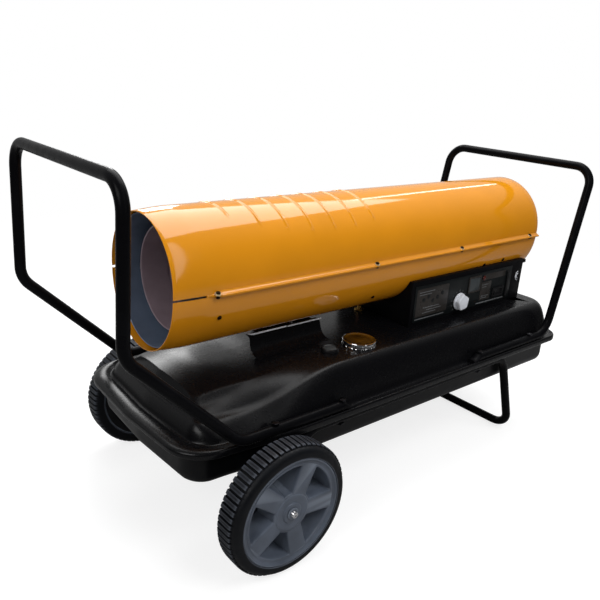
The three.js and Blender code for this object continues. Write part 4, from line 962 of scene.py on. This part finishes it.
axle = Vector(((axle_low.x + axle_high.x) / 2, 0, (axle_low.z + axle_high.z) / 2))
rail_front = axle.x + leg.rail_start
rail_rear = rear_run_start + leg.reach - leg.slope
slope_run = leg.rail_start + leg.past_axle
slope_drop = (rail_z - axle.z) * slope_run / leg.rail_start
frame_corners = [
    ((rail_front - slope_run, left, rail_z - slope_drop), 0), ((rail_front, left, rail_z), leg.tail_bend),
    ((rail_rear, left, rail_z), leg.tail_bend), ((rail_rear + leg.slope, left, tube.radius), leg.foot_bend),
]
piece = sweep("frame_tube", loop_path(frame_corners), tube_section)
settle(piece, "chassis", "black_paint", tube_black, "wheel_frame")


# Wheels
wheel = Sizes(radius=125, width=50, tread=4.5, rim=103, bead=2)
lug_count = 66
lug_top_share = 0.64
spoke_count = 5
spoke_phase_deg = 67

# The tyre's section: radius from the tread's base, depth from the outer face, and share of the lugs' height
tyre_section = [(-9, 0.2, 0), (-5, 1.4, 0), (-2.4, 3.6, 0), (-0.6, 6.6, 0), (0, 9, 0.1), (0, 9.8, 0.6),
                (0, 11, 0.86), (0, 14, 0.97), (0, 18, 1), (0, 32, 1), (0, 41, 0.97), (0, 45, 0.86),
                (-0.6, 47.4, 0.7), (-3, 49.2, 0.3), (-8, 50, 0)]


def tyre(name, side, outer_face):
    """A solid tyre: cross lugs over most of its width, a plain outer shoulder and flat walls."""
    flank = (1 - lug_top_share) / 2
    marks = [0, flank * 0.7, flank, flank * 1.15, 0.5, 1 - flank * 1.15, 1 - flank, 1 - flank * 0.7]
    rises = [0, 0, 0.88, 1, 1, 1, 0.88, 0]
    base = wheel.radius - wheel.tread
    profile = [(wheel.rim, 0, 0), (wheel.rim + wheel.bead, 0, 0)]
    profile += [(base + out * mm, depth * mm, share) for out, depth, share in tyre_section]
    profile += [(wheel.rim + wheel.bead, wheel.width, 0), (wheel.rim, wheel.width, 0)]
    rings = []
    for lug in range(lug_count):
        for mark, height in zip(marks, rises):
            angle = math.tau * (lug + mark - 0.5) / lug_count - math.pi / 2
            ring = []
            for radius, depth, share in profile:
                u, v = at_angle(radius + wheel.tread * share * height, angle)
                ring.append(Vector((axle.x + u, side * (outer_face - depth), axle.z + v)))
            rings.append(ring)
    return outward(loft(name, rings, along=True, sharp_deg=30))


rim = Sizes(radius=102.7, barrel=91, depth=46, face=4, disc=41, boss=37, hub=20, spoke=37, draft=6, corner=6,
            edge=1.8, edge_spread=1.6, edge_step=0.5, tuck=0.3, rim_gap=3, boss_gap=2, join=1, web=43,
            web_join=0.6, sheet=3)


def round_corners(points, radius, steps=5):
    """An outline with each corner rounded, the radius cut down where an edge is short."""
    result = []
    count = len(points)
    for i, point in enumerate(points):
        here = Vector(point)
        inward = Vector(points[i - 1]) - here
        outgoing = Vector(points[(i + 1) % count]) - here
        angle = inward.angle(outgoing)
        if angle > math.radians(150):
            result.append(here)
            continue
        cut = min(radius / math.tan(angle / 2), inward.length * 0.46, outgoing.length * 0.46)
        start = here + inward.normalized() * cut
        end = here + outgoing.normalized() * cut
        for k in range(steps + 1):
            t = k / steps
            result.append(start * (1 - t) ** 2 + here * 2 * t * (1 - t) + end * t ** 2)
    return result


def pocket_outline(middle, grow):
    """One pocket between two spokes; grow widens it on all sides."""
    half_sector = math.pi / spoke_count
    far, close = rim.barrel - rim.rim_gap + grow, rim.boss + rim.boss_gap - grow
    reach_far = half_sector - math.asin((rim.spoke / 2 - grow) / far)
    reach_close = half_sector - math.asin((rim.spoke * 0.43 - grow) / close)
    points = [at_angle(far, middle + reach_far * (i / 6 - 1)) for i in range(13)]
    points += [at_angle(close, middle - reach_close * (i / 3 - 1)) for i in range(7)]
    return round_corners(points, rim.corner)


def wheel_disc(name, side, outer_face):
    """The spoked disc: five pockets with drafted walls and rounded edges, between a front and a rear face."""
    vertices = []
    faces = []

    def put(points, depth):
        vertices.extend((axle.x + u, side * (outer_face - depth), axle.z + v) for u, v in points)

    def wall(rows):
        first = len(vertices)
        for points, depth in rows:
            put(points, depth)
        faces.extend(tuple(first + i for i in face) for face in side_faces(len(rows), len(rows[0][0])))

    rear_depth = rim.face + rim.disc
    edge = circle(rim.barrel + rim.join, 120)
    middles = [math.radians(spoke_phase_deg) + math.tau / spoke_count * (k + 0.5) for k in range(spoke_count)]
    widest = rim.edge + rim.edge_spread
    for depth, grow in ((rim.face, widest), (rear_depth, -rim.draft)):
        flat = flat_mesh("flat", [edge] + [pocket_outline(middle, grow) for middle in middles])
        first = len(vertices)
        put([(vertex.co.x, vertex.co.y) for vertex in flat.vertices], depth)
        faces.extend(tuple(first + i for i in face.vertices) for face in flat.polygons)
        bpy.data.meshes.remove(flat)
    pocket_rows = [(rim.face, widest), (rim.face, rim.edge), (rim.face + rim.edge_step, rim.edge * 0.45),
                   (rim.face + rim.edge, 0), (rim.face + widest, -rim.tuck), (rear_depth, -rim.draft)]
    for middle in middles:
        wall([(pocket_outline(middle, grow), depth) for depth, grow in pocket_rows])
    wall([(edge, rim.face), (edge, rear_depth)])
    piece = sealed(mesh_piece(name, vertices, faces))
    shade_smooth(piece.data, 40)
    return piece


# Turned pieces of a wheel: radius and depth behind the outer face
barrel = points_mm([(0, 3), (-0.8, 1.4), (-2.4, 0.8), (-4, 1.4), (-5.4, 3), (-8, 4.4)], rim.radius)
barrel += points_mm([(0.5, 0.6)], rim.barrel, rim.face) + points_mm([(0, 25), (1, 40)], rim.barrel)
barrel += points_mm([(-8, 0), (-1, 2), (0, 1)], rim.radius, rim.depth) + barrel[:1]
hub = points_mm([(6.2, 2), (9, 1.8), (16, 1.2), (18.4, 1.8), (19.4, 3), (20.4, 3.6), (31, 2.6), (34, 2.8),
                 (35.6, 4), (36.4, 5.4), (36.4, 12), (30, 18)])
hub += points_mm([(0, 26), (0, 66)], rim.hub) + points_mm([(6.2, 66), (6.2, 2)])
web_inner, web_outer, web_rear = rim.hub - rim.join, rim.barrel + rim.web_join, rim.web + rim.sheet
web = [(web_inner, rim.web), (web_outer, rim.web), (web_outer, web_rear), (web_inner, web_rear),
       (web_inner, rim.web)]
back = points_mm([(0.3, 0.3)], rim.hub, rim.depth)
back += points_mm([(-9, 0.3), (-3, 2.2), (-3, 3.2), (-10, 1.4)], rim.radius, rim.depth)
back += points_mm([(0.3, 1.4), (0.3, 0.3)], rim.hub, rim.depth)
# The web in the darker slate and the back ring in near-black seal rubber are painted shade inside the wheel.
rim_pieces = [("rim_barrel", barrel, 120, rim_slate), ("rim_hub", hub, 72, rim_slate),
              ("rim_web", web, 90, shaded_slate), ("rim_back", back, 90, seal_black)]
push_washer = points_mm([(6.3, 0), (11, 0), (11, 0.8), (9.6, 1.2), (6.3, 1.2), (6.3, 0)])
push_cap = points_mm([(0, 0.6), (7.6, 0.6), (7.4, 2), (6.8, 4.6), (5.6, 6.8), (3.4, 7.8), (1.6, 8),
                      (1.2, 6.4), (0, 6.4)])
cap_pieces = [("push_washer", push_washer, rim_slate), ("push_cap", push_cap, chrome)]
cap_sink = 0.7 * mm

for side, word in sides:
    body, node = f"wheel_{word}", f"rim_{word}"
    tyre_low, tyre_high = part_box(f"tyre_{word}")
    outer_face = max(abs(tyre_low.y), abs(tyre_high.y))
    settle(tyre(f"tyre_ring_{word}", side, outer_face), body, "tyre_rubber", rubber, f"tyre_{word}")
    settle(wheel_disc(f"rim_disc_{word}", side, outer_face), body, "rim_plastic", rim_slate, node)
    face = (axle.x, side * outer_face, axle.z)
    for name, profile, steps, material in rim_pieces:
        piece = lathe(f"{name}_{word}", profile, face, (0, -side, 0), steps)
        settle(piece, body, "rim_plastic", material, node)
    place = (axle.x, side * (outer_face - cap_sink), axle.z)
    for name, profile, material in cap_pieces:
        piece = lathe(f"{name}_{word}", profile, place, (0, side, 0), 40)
        settle(piece, "chassis", "chrome", material, f"hub_cap_{word}")


# Fuel cap and gauge
def notched(name, profile, centre, notches, depth, rows, steps):
    """A turned piece whose named rows of the profile are crimped inwards at even steps."""
    rings = []
    for step in range(steps):
        angle = math.tau * step / steps
        crimp = max(0, math.cos(angle * notches)) ** 6 * depth
        ring = []
        for k, (radius, along) in enumerate(profile):
            u, v = at_angle(radius - (crimp if k in rows else 0), angle)
            ring.append(Vector(centre) + Vector((u, v, along)))
        rings.append(ring)
    return sealed(loft(name, rings, around=False, along=True))


cap_low, cap_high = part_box("fuel_cap")
cap_radius = (cap_high.x - cap_low.x) / 2
cap_height = cap_high.z - cap_low.z
cap_centre = ((cap_low.x + cap_high.x) / 2, (cap_low.y + cap_high.y) / 2, cap_low.z)
cap_profile = points_mm([(0, -0.6)], 0, cap_height) + points_mm([(0, -0.8)], cap_radius * 0.3, cap_height)
cap_profile += points_mm([(-9, -2), (-6.5, -1.4), (-4.6, -0.3), (-3, 0), (-1.4, -0.5), (-0.5, -1.8),
                          (-0.4, -3.4), (-1.6, -4.4)], cap_radius, cap_height)
cap_profile += points_mm([(-1.2, 3), (0, 0.8), (-0.2, 0), (-2.5, 0)], cap_radius)
cap_profile += points_mm([(-2.8, -4)], cap_radius, cap_height) + points_mm([(0, -4)], 0, cap_height)
crimps, crimp_depth, crimped_rows = 12, 1.6 * mm, (9, 10, 11, 12)
cap_shell = notched("fuel_cap_shell", cap_profile, cap_centre, crimps, crimp_depth, crimped_rows, 144)
settle(cap_shell, "cap", "chrome", chrome, "fuel_cap")

gauge_low, gauge_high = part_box("fuel_gauge")
gauge_radius = (gauge_high.x - gauge_low.x) / 2
gauge_centre = ((gauge_low.x + gauge_high.x) / 2, (gauge_low.y + gauge_high.y) / 2, tank_high.z)
stand = gauge_high.z - tank_high.z
bezel = [(0, fit), (gauge_radius, fit), (gauge_radius, stand * 0.55)]
bezel += points_mm([(-1.2, 0), (-3, 0)], gauge_radius, stand * 0.8)
bezel += points_mm([(-3.4, 0)], gauge_radius, stand * 0.5) + [(0, stand * 0.5)]
lens_inset = 3.6 * mm
lens_radius = gauge_radius - lens_inset
lens = [(0, stand * 0.45), (lens_radius, stand * 0.45)]
for k in range(7):
    angle = math.pi / 2 * k / 6
    lens.append((lens_radius * math.cos(angle), stand * (0.66 + 0.34 * math.sin(angle))))
for name, profile, material in (("gauge_bezel", bezel, black_plastic), ("gauge_lens", lens, window_grey)):
    piece = lathe(name, profile, gauge_centre, (0, 0, 1), 48)
    settle(piece, "chassis", "window_plastic", material, "fuel_gauge")


# Thermostat knob: a round skirt and a five-sided grip
knob_low, knob_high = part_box("thermostat_knob")
knob_radius = (knob_high.z - knob_low.z) / 2
knob_x, knob_z = (knob_low.x + knob_high.x) / 2, (knob_low.z + knob_high.z) / 2
skirt = points_mm([(0, 0.2)]) + points_mm([(-0.4, 0.2), (0, 0.8), (-0.4, 3.4), (-2.4, 4.2)], knob_radius)
skirt += points_mm([(0, 4.2)])
skirt_piece = lathe("knob_skirt", skirt, (knob_x, knob_high.y, knob_z), (0, -1, 0), 64)
settle(skirt_piece, "thermostat_dial", "knob_plastic", knob_pale, "thermostat_knob")
knob = Sizes(skirt=3.8, grip_inset=0.6, grip_corner=6, grip_edge=1.6)
knob_corner_deg = [98, 26, -46, -118, 170]
grip_depth = knob_high.y - knob_low.y - knob.skirt
grip = [at_angle(knob_radius - knob.grip_inset, math.radians(corner)) for corner in knob_corner_deg]
grip_place = (knob_x, knob_high.y - knob.skirt - grip_depth / 2, knob_z)
grip_outline = round_corners(grip, knob.grip_corner, 6)
grip_piece = plate("knob_grip", [grip_outline], grip_depth, knob.grip_edge, grip_place, facing_left)
settle(grip_piece, "thermostat_dial", "knob_plastic", knob_pale, "thermostat_knob")


def panel_plate(name, outline_mm, depth_mm, bevel_mm, out_mm):
    """A rounded plate along the panel, whose middle stands out from the panel's face."""
    place = (0, panel_low.y - out_mm * mm, 0)
    outlines = [rounded(*lengths(*values)) for values in outline_mm]
    return plate(name, outlines, depth_mm * mm, bevel_mm * mm, place, facing_left)


# Tab at the box's rear edge, and two wire arcs in pale plastic: their paleness is a painted highlight
tab = panel_plate("box_tab", [(533, 549, 406, 415, 2)], 5, 0.6, -5)
settle(tab, "chassis", "black_paint", box_black)
wire_x, wire_z, wire_stand, wire_radius = lengths(516, 376, 1.4, 1.1)
wire_start_deg, wire_turn_deg, wire_steps, wire_stretch = 105, 150, 12, 1.2
for k, radius in enumerate(lengths(10, 5.5)):
    arc = []
    for i in range(wire_steps + 1):
        u, v = at_angle(radius, math.radians(wire_start_deg + wire_turn_deg * i / wire_steps))
        arc.append(Vector((wire_x + u, panel_low.y - wire_stand, wire_z + wire_stretch * v)))
    settle(sweep(f"wire_{k}", arc, circle(wire_radius, 10)), "chassis", "knob_plastic", knob_pale)


# Panel films with their bars and dots
thin = Sizes(film=0.4, bar=0.25, edge=0.15, gap=0.02, mark=0.3, mark_edge=0.1, mark_out=5, mark_stand=0.2)


def film(name, outline, material, depth=thin.film, stand_off=0.0):
    place = (0, panel_low.y - stand_off - depth / 2 - thin.gap, 0)
    piece = plate(name, [outline], depth, min(thin.edge, depth / 3), place, facing_left, 1)
    settle(piece, "chassis", "panel_plastic", material)


# Left, right, bottom and top edge and corner radius of the films, ends and lower edge of the bars, all in mm
films = [("left_film", (126, 236, 333, 399, 3), film_grey),
         # The two pale bands are a painted highlight along the panel's bottom edge.
         ("left_edge_highlight", (126, 228, 327, 329.4, 0.6), mark_grey),
         ("right_film", (362, 404, 333, 380, 2), film_grey),
         ("right_edge_highlight", (352, 464, 325.5, 328.5, 0.6), mark_grey),
         ("top_film", (372, 460, 384, 399, 2), film_grey)]
bars = [(134, 186, 390), (134, 176, 384), (150, 206, 352), (162, 214, 346), (150, 196, 340), (368, 392, 372),
        (368, 386, 366), (368, 398, 343), (368, 392, 338)]
dots = points_mm([(150, 372), (166, 378), (182, 366), (198, 372), (214, 380)])
dot_profile = points_mm([(0, 0), (5, 0), (5, 0.3), (4, 0.4), (0, 0.4)])
for name, edges, material in films:
    film(name, rounded(*lengths(*edges)), material)
for k, (x0, x1, z) in enumerate(bars):
    film(f"film_bar_{k}", rounded(*lengths(x0, x1, z, z + 1.6, 0.5)), mark_grey, thin.bar, thin.film)
for k, (x, z) in enumerate(dots):
    dot = lathe(f"film_dot_{k}", dot_profile, (x, panel_low.y - thin.film, z), (0, -1, 0), 24)
    settle(dot, "chassis", "panel_plastic", panel_black)

# Marks round the knob, every fifth one longer
mark_radius = knob_radius + thin.mark_out
long_mark, short_mark = lengths(2.6, 1.7)
mark_count, first_mark_deg, mark_step_deg = 11, 225, 27
for k in range(mark_count):
    angle = math.radians(first_mark_deg - mark_step_deg * k)
    out = Vector((math.cos(angle), 0, math.sin(angle)))
    place = Vector((knob_x, 0, knob_z)) + out * mark_radius
    place.y = panel_low.y - thin.mark_stand
    turn = basis(out, (-math.sin(angle), 0, math.cos(angle)), (0, -1, 0))
    half = short_mark if k % 5 else long_mark
    outline = rounded(-half, half, *lengths(-0.7, 0.7, 0.3), 2)
    mark = plate(f"dial_mark_{k}", [outline], thin.mark, thin.mark_edge, place, turn, 1)
    settle(mark, "chassis", "panel_plastic", mark_grey)

# The display's rim: its outer outline and its hole, each grown from the window and rounded
low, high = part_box("display_window")
outlines = [rounded(low.x - grow, high.x + grow, low.z - grow, high.z + grow, radius)
            for grow, radius in points_mm([(1.6, 2.4), (-2.4, 1.6)])]
rim_depth, rim_edge = lengths(2.4, 0.6)
rim_place = (0, panel_low.y - rim_depth / 2, 0)
display_rim = plate("display_rim", outlines, rim_depth, rim_edge, rim_place, facing_left)
settle(display_rim, "chassis", "window_plastic", film_grey)
strip = panel_plate("panel_edge_strip", [(466.5, 474.5, 326, 396, 3.8)], 5, 2.2, 2.4)
settle(strip, "chassis", "panel_plastic", black_plastic)


# Frame nodes that stay, with their materials
stay = {
    zinc: ["axle", "motor_shaft", "filler_neck", "thermostat_spindle", "fan", "motor_bracket", "burner_head"],
    bolt_black: [f"handle_bolt_{k}" for k in range(1, 9)],
    heat_steel: ["outlet_baffle"],
    box_black: ["motor", "rear_guard", "control_box"],
    cast: ["air_pump"],
    brass: ["drain_plug", "fuel_nozzle", "fuel_pickup"],
    copper: ["fuel_line", "air_line"],
    ceramic: ["igniter"],
    black_plastic: ["flame_eye", "filter_cover", "cord_gland", "switch_bezel", "power_switch", "thermostat",
                    "ignition_transformer"],
    panel_black: ["control_panel"],
    window_grey: ["display_window"],
    red_lens: ["indicator_lamp"],
    board_green: ["control_board"],
    seal_black: ["cap_seal"],
}
edge_mm = 0.5
wide_edges_mm = {"control_box": 1.5, "motor": 2, "air_pump": 1.5}
for material, names in stay.items():
    for name in names:
        dress(name, material, wide_edges_mm.get(name, edge_mm) * mm)


# Front support: two bent side plates that stand on the tank, a cross wall, and a hem at the housing, painted
# near white as a highlight
support_low, support_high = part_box("front_support")
support = Sizes(top=347, far_start=76, wall_inset=8, wall_gap=2, wall_foot=1, wall_corner=2, wall_edge=0.4)
hem = Sizes(z=351, gap=2, out=0.4, bend=8, radius=1.6, side_radius=1.5, side_drop=0.6)

# Section of a side plate from its foot up: outwards and up from the tank in mm, then down from the top
plate_foot = [(34, 0.3), (27, 0.8), (20.5, 1.9), (15, 3.8), (10.4, 6.6), (6.6, 10.2), (3.6, 14.6), (1.4, 20)]
plate_head = [(0, -9), (-0.3, -7), (-1.2, -4.6), (-2.8, -2.4), (-5, -0.9), (-7.6, -0.1), (-11, 0), (-16, 0)]


def support_plate(name, side, steps=24):
    """A side plate, flared out onto the tank and folded in under the housing; the far one is shorter."""
    rings = []
    start = support_low.x + (support.far_start if side > 0 else 0)
    for i in range(steps + 1):
        x = start + (support_high.x - start) * i / steps
        outer = [(y, flange_top + top_height(x, y) + z) for y, z in points_mm(plate_foot, support_high.y)]
        outer += points_mm(plate_head, support_high.y, support.top)
        inner = []
        for below, here, above in zip(outer, outer[1:], outer[2:]):
            along = Vector(above) - Vector(below)
            across = Vector((-along.y, along.x)).normalized() * sheet
            inner.append((here[0] - abs(across.x), here[1] - abs(across.y)))
        rings.append([Vector((x, side * y, z)) for y, z in outer + inner[::-1]])
    return capped(name, rings)


for side, word in sides:
    piece = support_plate(f"support_{word}", side)
    settle(piece, "chassis", "black_paint", tank_black, "front_support")
wall_half = support_high.y - support.wall_gap
cross_wall = rounded(-wall_half, wall_half, tank_high.z + support.wall_foot, support.top - support.wall_gap,
                     support.wall_corner)
wall_place = (support_high.x - support.wall_inset, 0, 0)
piece = plate("support_wall", [cross_wall], sheet, support.wall_edge, wall_place, facing_front)
settle(piece, "chassis", "black_paint", box_black, "front_support")
middle_x = (support_low.x + support_high.x) / 2
hem_x, hem_y = support_low.x - hem.out, support_high.y + hem.out
hem_end = middle_x - hem.gap
hem_corners = [((hem_end, -hem_y, hem.z), 0), ((hem_x, -hem_y, hem.z), hem.bend),
               ((hem_x, hem_y, hem.z), hem.bend), ((hem_end, hem_y, hem.z), 0)]
piece = sweep("support_hem_front", bent_path(hem_corners), circle(hem.radius, 12))
settle(piece, "chassis", "black_paint", hem_painted_highlight)
for side, word in sides:
    ends = [Vector((x, side * hem_y, hem.z - hem.side_drop)) for x in (middle_x + hem.gap, support_high.x)]
    piece = sweep(f"support_hem_{word}", ends, circle(hem.side_radius, 12))
    settle(piece, "chassis", "black_paint", hem_painted_highlight)

# Floor: a white disc that fades into the white background
white = (1, 1, 1, 1)
floor_radius, floor_sides = 3.2, 96
fade_start, fade_end = 0.9, 2.6
floor_glow = 0.78
mesh = bpy.data.meshes.new("floor")
mesh.from_pydata([(u, v, 0) for u, v in circle(floor_radius, floor_sides)], [], [tuple(range(floor_sides))])
floor = link("floor", mesh)
look = Look("floor", (0.3, 0.3, 0.3, 1), 0.9, specular=0.0)
tree = look.tree
camera_ray = add_node(tree, "LightPath").outputs["Is Camera Ray"]
glow = add_node(tree, "Math", {0: camera_ray, 1: floor_glow}, operation="MULTIPLY")
glowing = add_node(tree, "Emission", {"Color": white, "Strength": glow.outputs[0]})
lit = add_node(tree, "AddShader", {0: look.shader.outputs[0], 1: glowing.outputs[0]})
away = add_node(tree, "VectorMath", {0: look.place}, operation="LENGTH")
fade = look.ramp(away.outputs["Value"], 0.0, 1.0, fade_start, fade_end)
clear = add_node(tree, "BsdfTransparent")
fading = add_node(tree, "MixShader", {0: fade, 1: lit.outputs[0], 2: clear.outputs[0]})
feed(tree, tree.nodes["Material Output"], {"Surface": fading.outputs[0]})
floor.data.materials.append(look.material)

# World: white behind the object, as the camera and the polished surfaces see it, and dim on the camera's side
world_light = 0.32
behind_object = Vector((0.42, 0.80, 0.42)).normalized()
world_levels = {"From Min": -0.1, "From Max": 0.75, "To Min": 0.04, "To Max": 0.55}
world = bpy.data.worlds.new("studio")
bpy.context.scene.world = world
world.use_nodes = True
tree = world.node_tree


def larger(one, other):
    """A node output that is the larger of two."""
    return add_node(tree, "Math", {0: one, 1: other}, operation="MAXIMUM").outputs[0]


soft = tree.nodes["Background"]
feed(tree, soft, {"Color": white, "Strength": world_light})
direction = add_node(tree, "TexCoord").outputs["Generated"]
behind = add_node(tree, "VectorMath", {0: direction, 1: behind_object}, operation="DOT_PRODUCT")
wall_inputs = {"Value": behind.outputs["Value"], **world_levels}
wall = add_node(tree, "MapRange", wall_inputs, interpolation_type="SMOOTHSTEP")
rays = add_node(tree, "LightPath").outputs
level = larger(wall.outputs["Result"], rays["Is Camera Ray"])
seen = add_node(tree, "Background", {"Color": white, "Strength": level})
shown = larger(larger(rays["Is Camera Ray"], rays["Is Glossy Ray"]), rays["Is Transmission Ray"])
mix = add_node(tree, "MixShader", {0: shown, 1: soft.outputs[0], 2: seen.outputs[0]})
feed(tree, tree.nodes["World Output"], {"Surface": mix.outputs[0]})


def lamp(name, place, aim, size, radiance, mirrored=True):
    """A soft box. radiance is how bright its face is, where 1 is the white of the background."""
    data = bpy.data.lights.new(name, "AREA")
    data.shape = "RECTANGLE"
    data.size, data.size_y = size
    data.energy = radiance * math.pi * size[0] * size[1]
    light = link(name, data)
    light.visible_glossy = mirrored
    u, v = aim
    light.matrix_world = Matrix.Translation(place) @ basis(u, v, Vector(u).cross(Vector(v)))


def facing(place, target):
    """The two directions of a soft box that faces a target."""
    w = (Vector(place) - Vector(target)).normalized()
    u = Vector((0, 0, 1)).cross(w).normalized()
    return u, w.cross(u)


def level_aim(heading):
    """The two directions of a level soft box whose long side runs along a heading."""
    u = heading.normalized()
    return u, Vector((-u.y, u.x, 0))


# The top box gives the pale band along the housing; its lower edge runs along the near side
top_start, top_size = Vector((0.0, -0.57, 2.4)), (2.45, 2.5)
top_aim = level_aim(Vector((0.915, 0.404, 0)))
top_place = top_start + top_aim[0] * top_size[0] / 2 + top_aim[1] * top_size[1] / 2
lamp("top", top_place, top_aim, top_size, 3.95)
key_place = (0.35, -2.1, 2.75)
lamp("key", key_place, facing(key_place, (0, 0, 0.4)), (1.6, 1.6), 5.9, mirrored=False)
mouth_place = (-2.3, -0.6, 1.9)
lamp("mouth", mouth_place, facing(mouth_place, (-0.5, 0, 0.4)), (1.3, 1.1), 5.0)
ramp_place = (1.28, 3.7, 1.83)
lamp("ramp", ramp_place, facing(ramp_place, (-0.35, 0.05, 0.28)), (0.75, 1.25), 7.0)
lip_place, lip_size = (0.12, -1.6, 1.45), (0.14, 2.4)
lamp("lip", lip_place, (Vector((1, 0, 0)), Vector((0, 0.68, 0.73))), lip_size, 2.2)
strip_start, strip_end = Vector((1.7, 0.95, 2.4)), Vector((3.9, 1.45, 2.4))
strip_run, strip_width = strip_end - strip_start, 0.14
lamp("strip", (strip_start + strip_end) / 2, level_aim(strip_run), (strip_run.length, strip_width), 8.0)

# Camera: its place, where it looks and which way is up
camera_place = (-0.9733, -1.0001, 0.8421)
looking = Vector((0.6157, 0.7159, -0.3293)).normalized()
up = Vector((0.1644, 0.2920, 0.9422))
up = (up - looking * up.dot(looking)).normalized()
camera_data = bpy.data.cameras.new("camera")
camera_data.lens = 39.71
camera_data.sensor_width = 36
camera = link("camera", camera_data)
bpy.context.scene.camera = camera
camera.matrix_world = Matrix.Translation(camera_place) @ basis(looking.cross(up), up, -looking)

bpy.context.scene.view_settings.view_transform = "Standard"
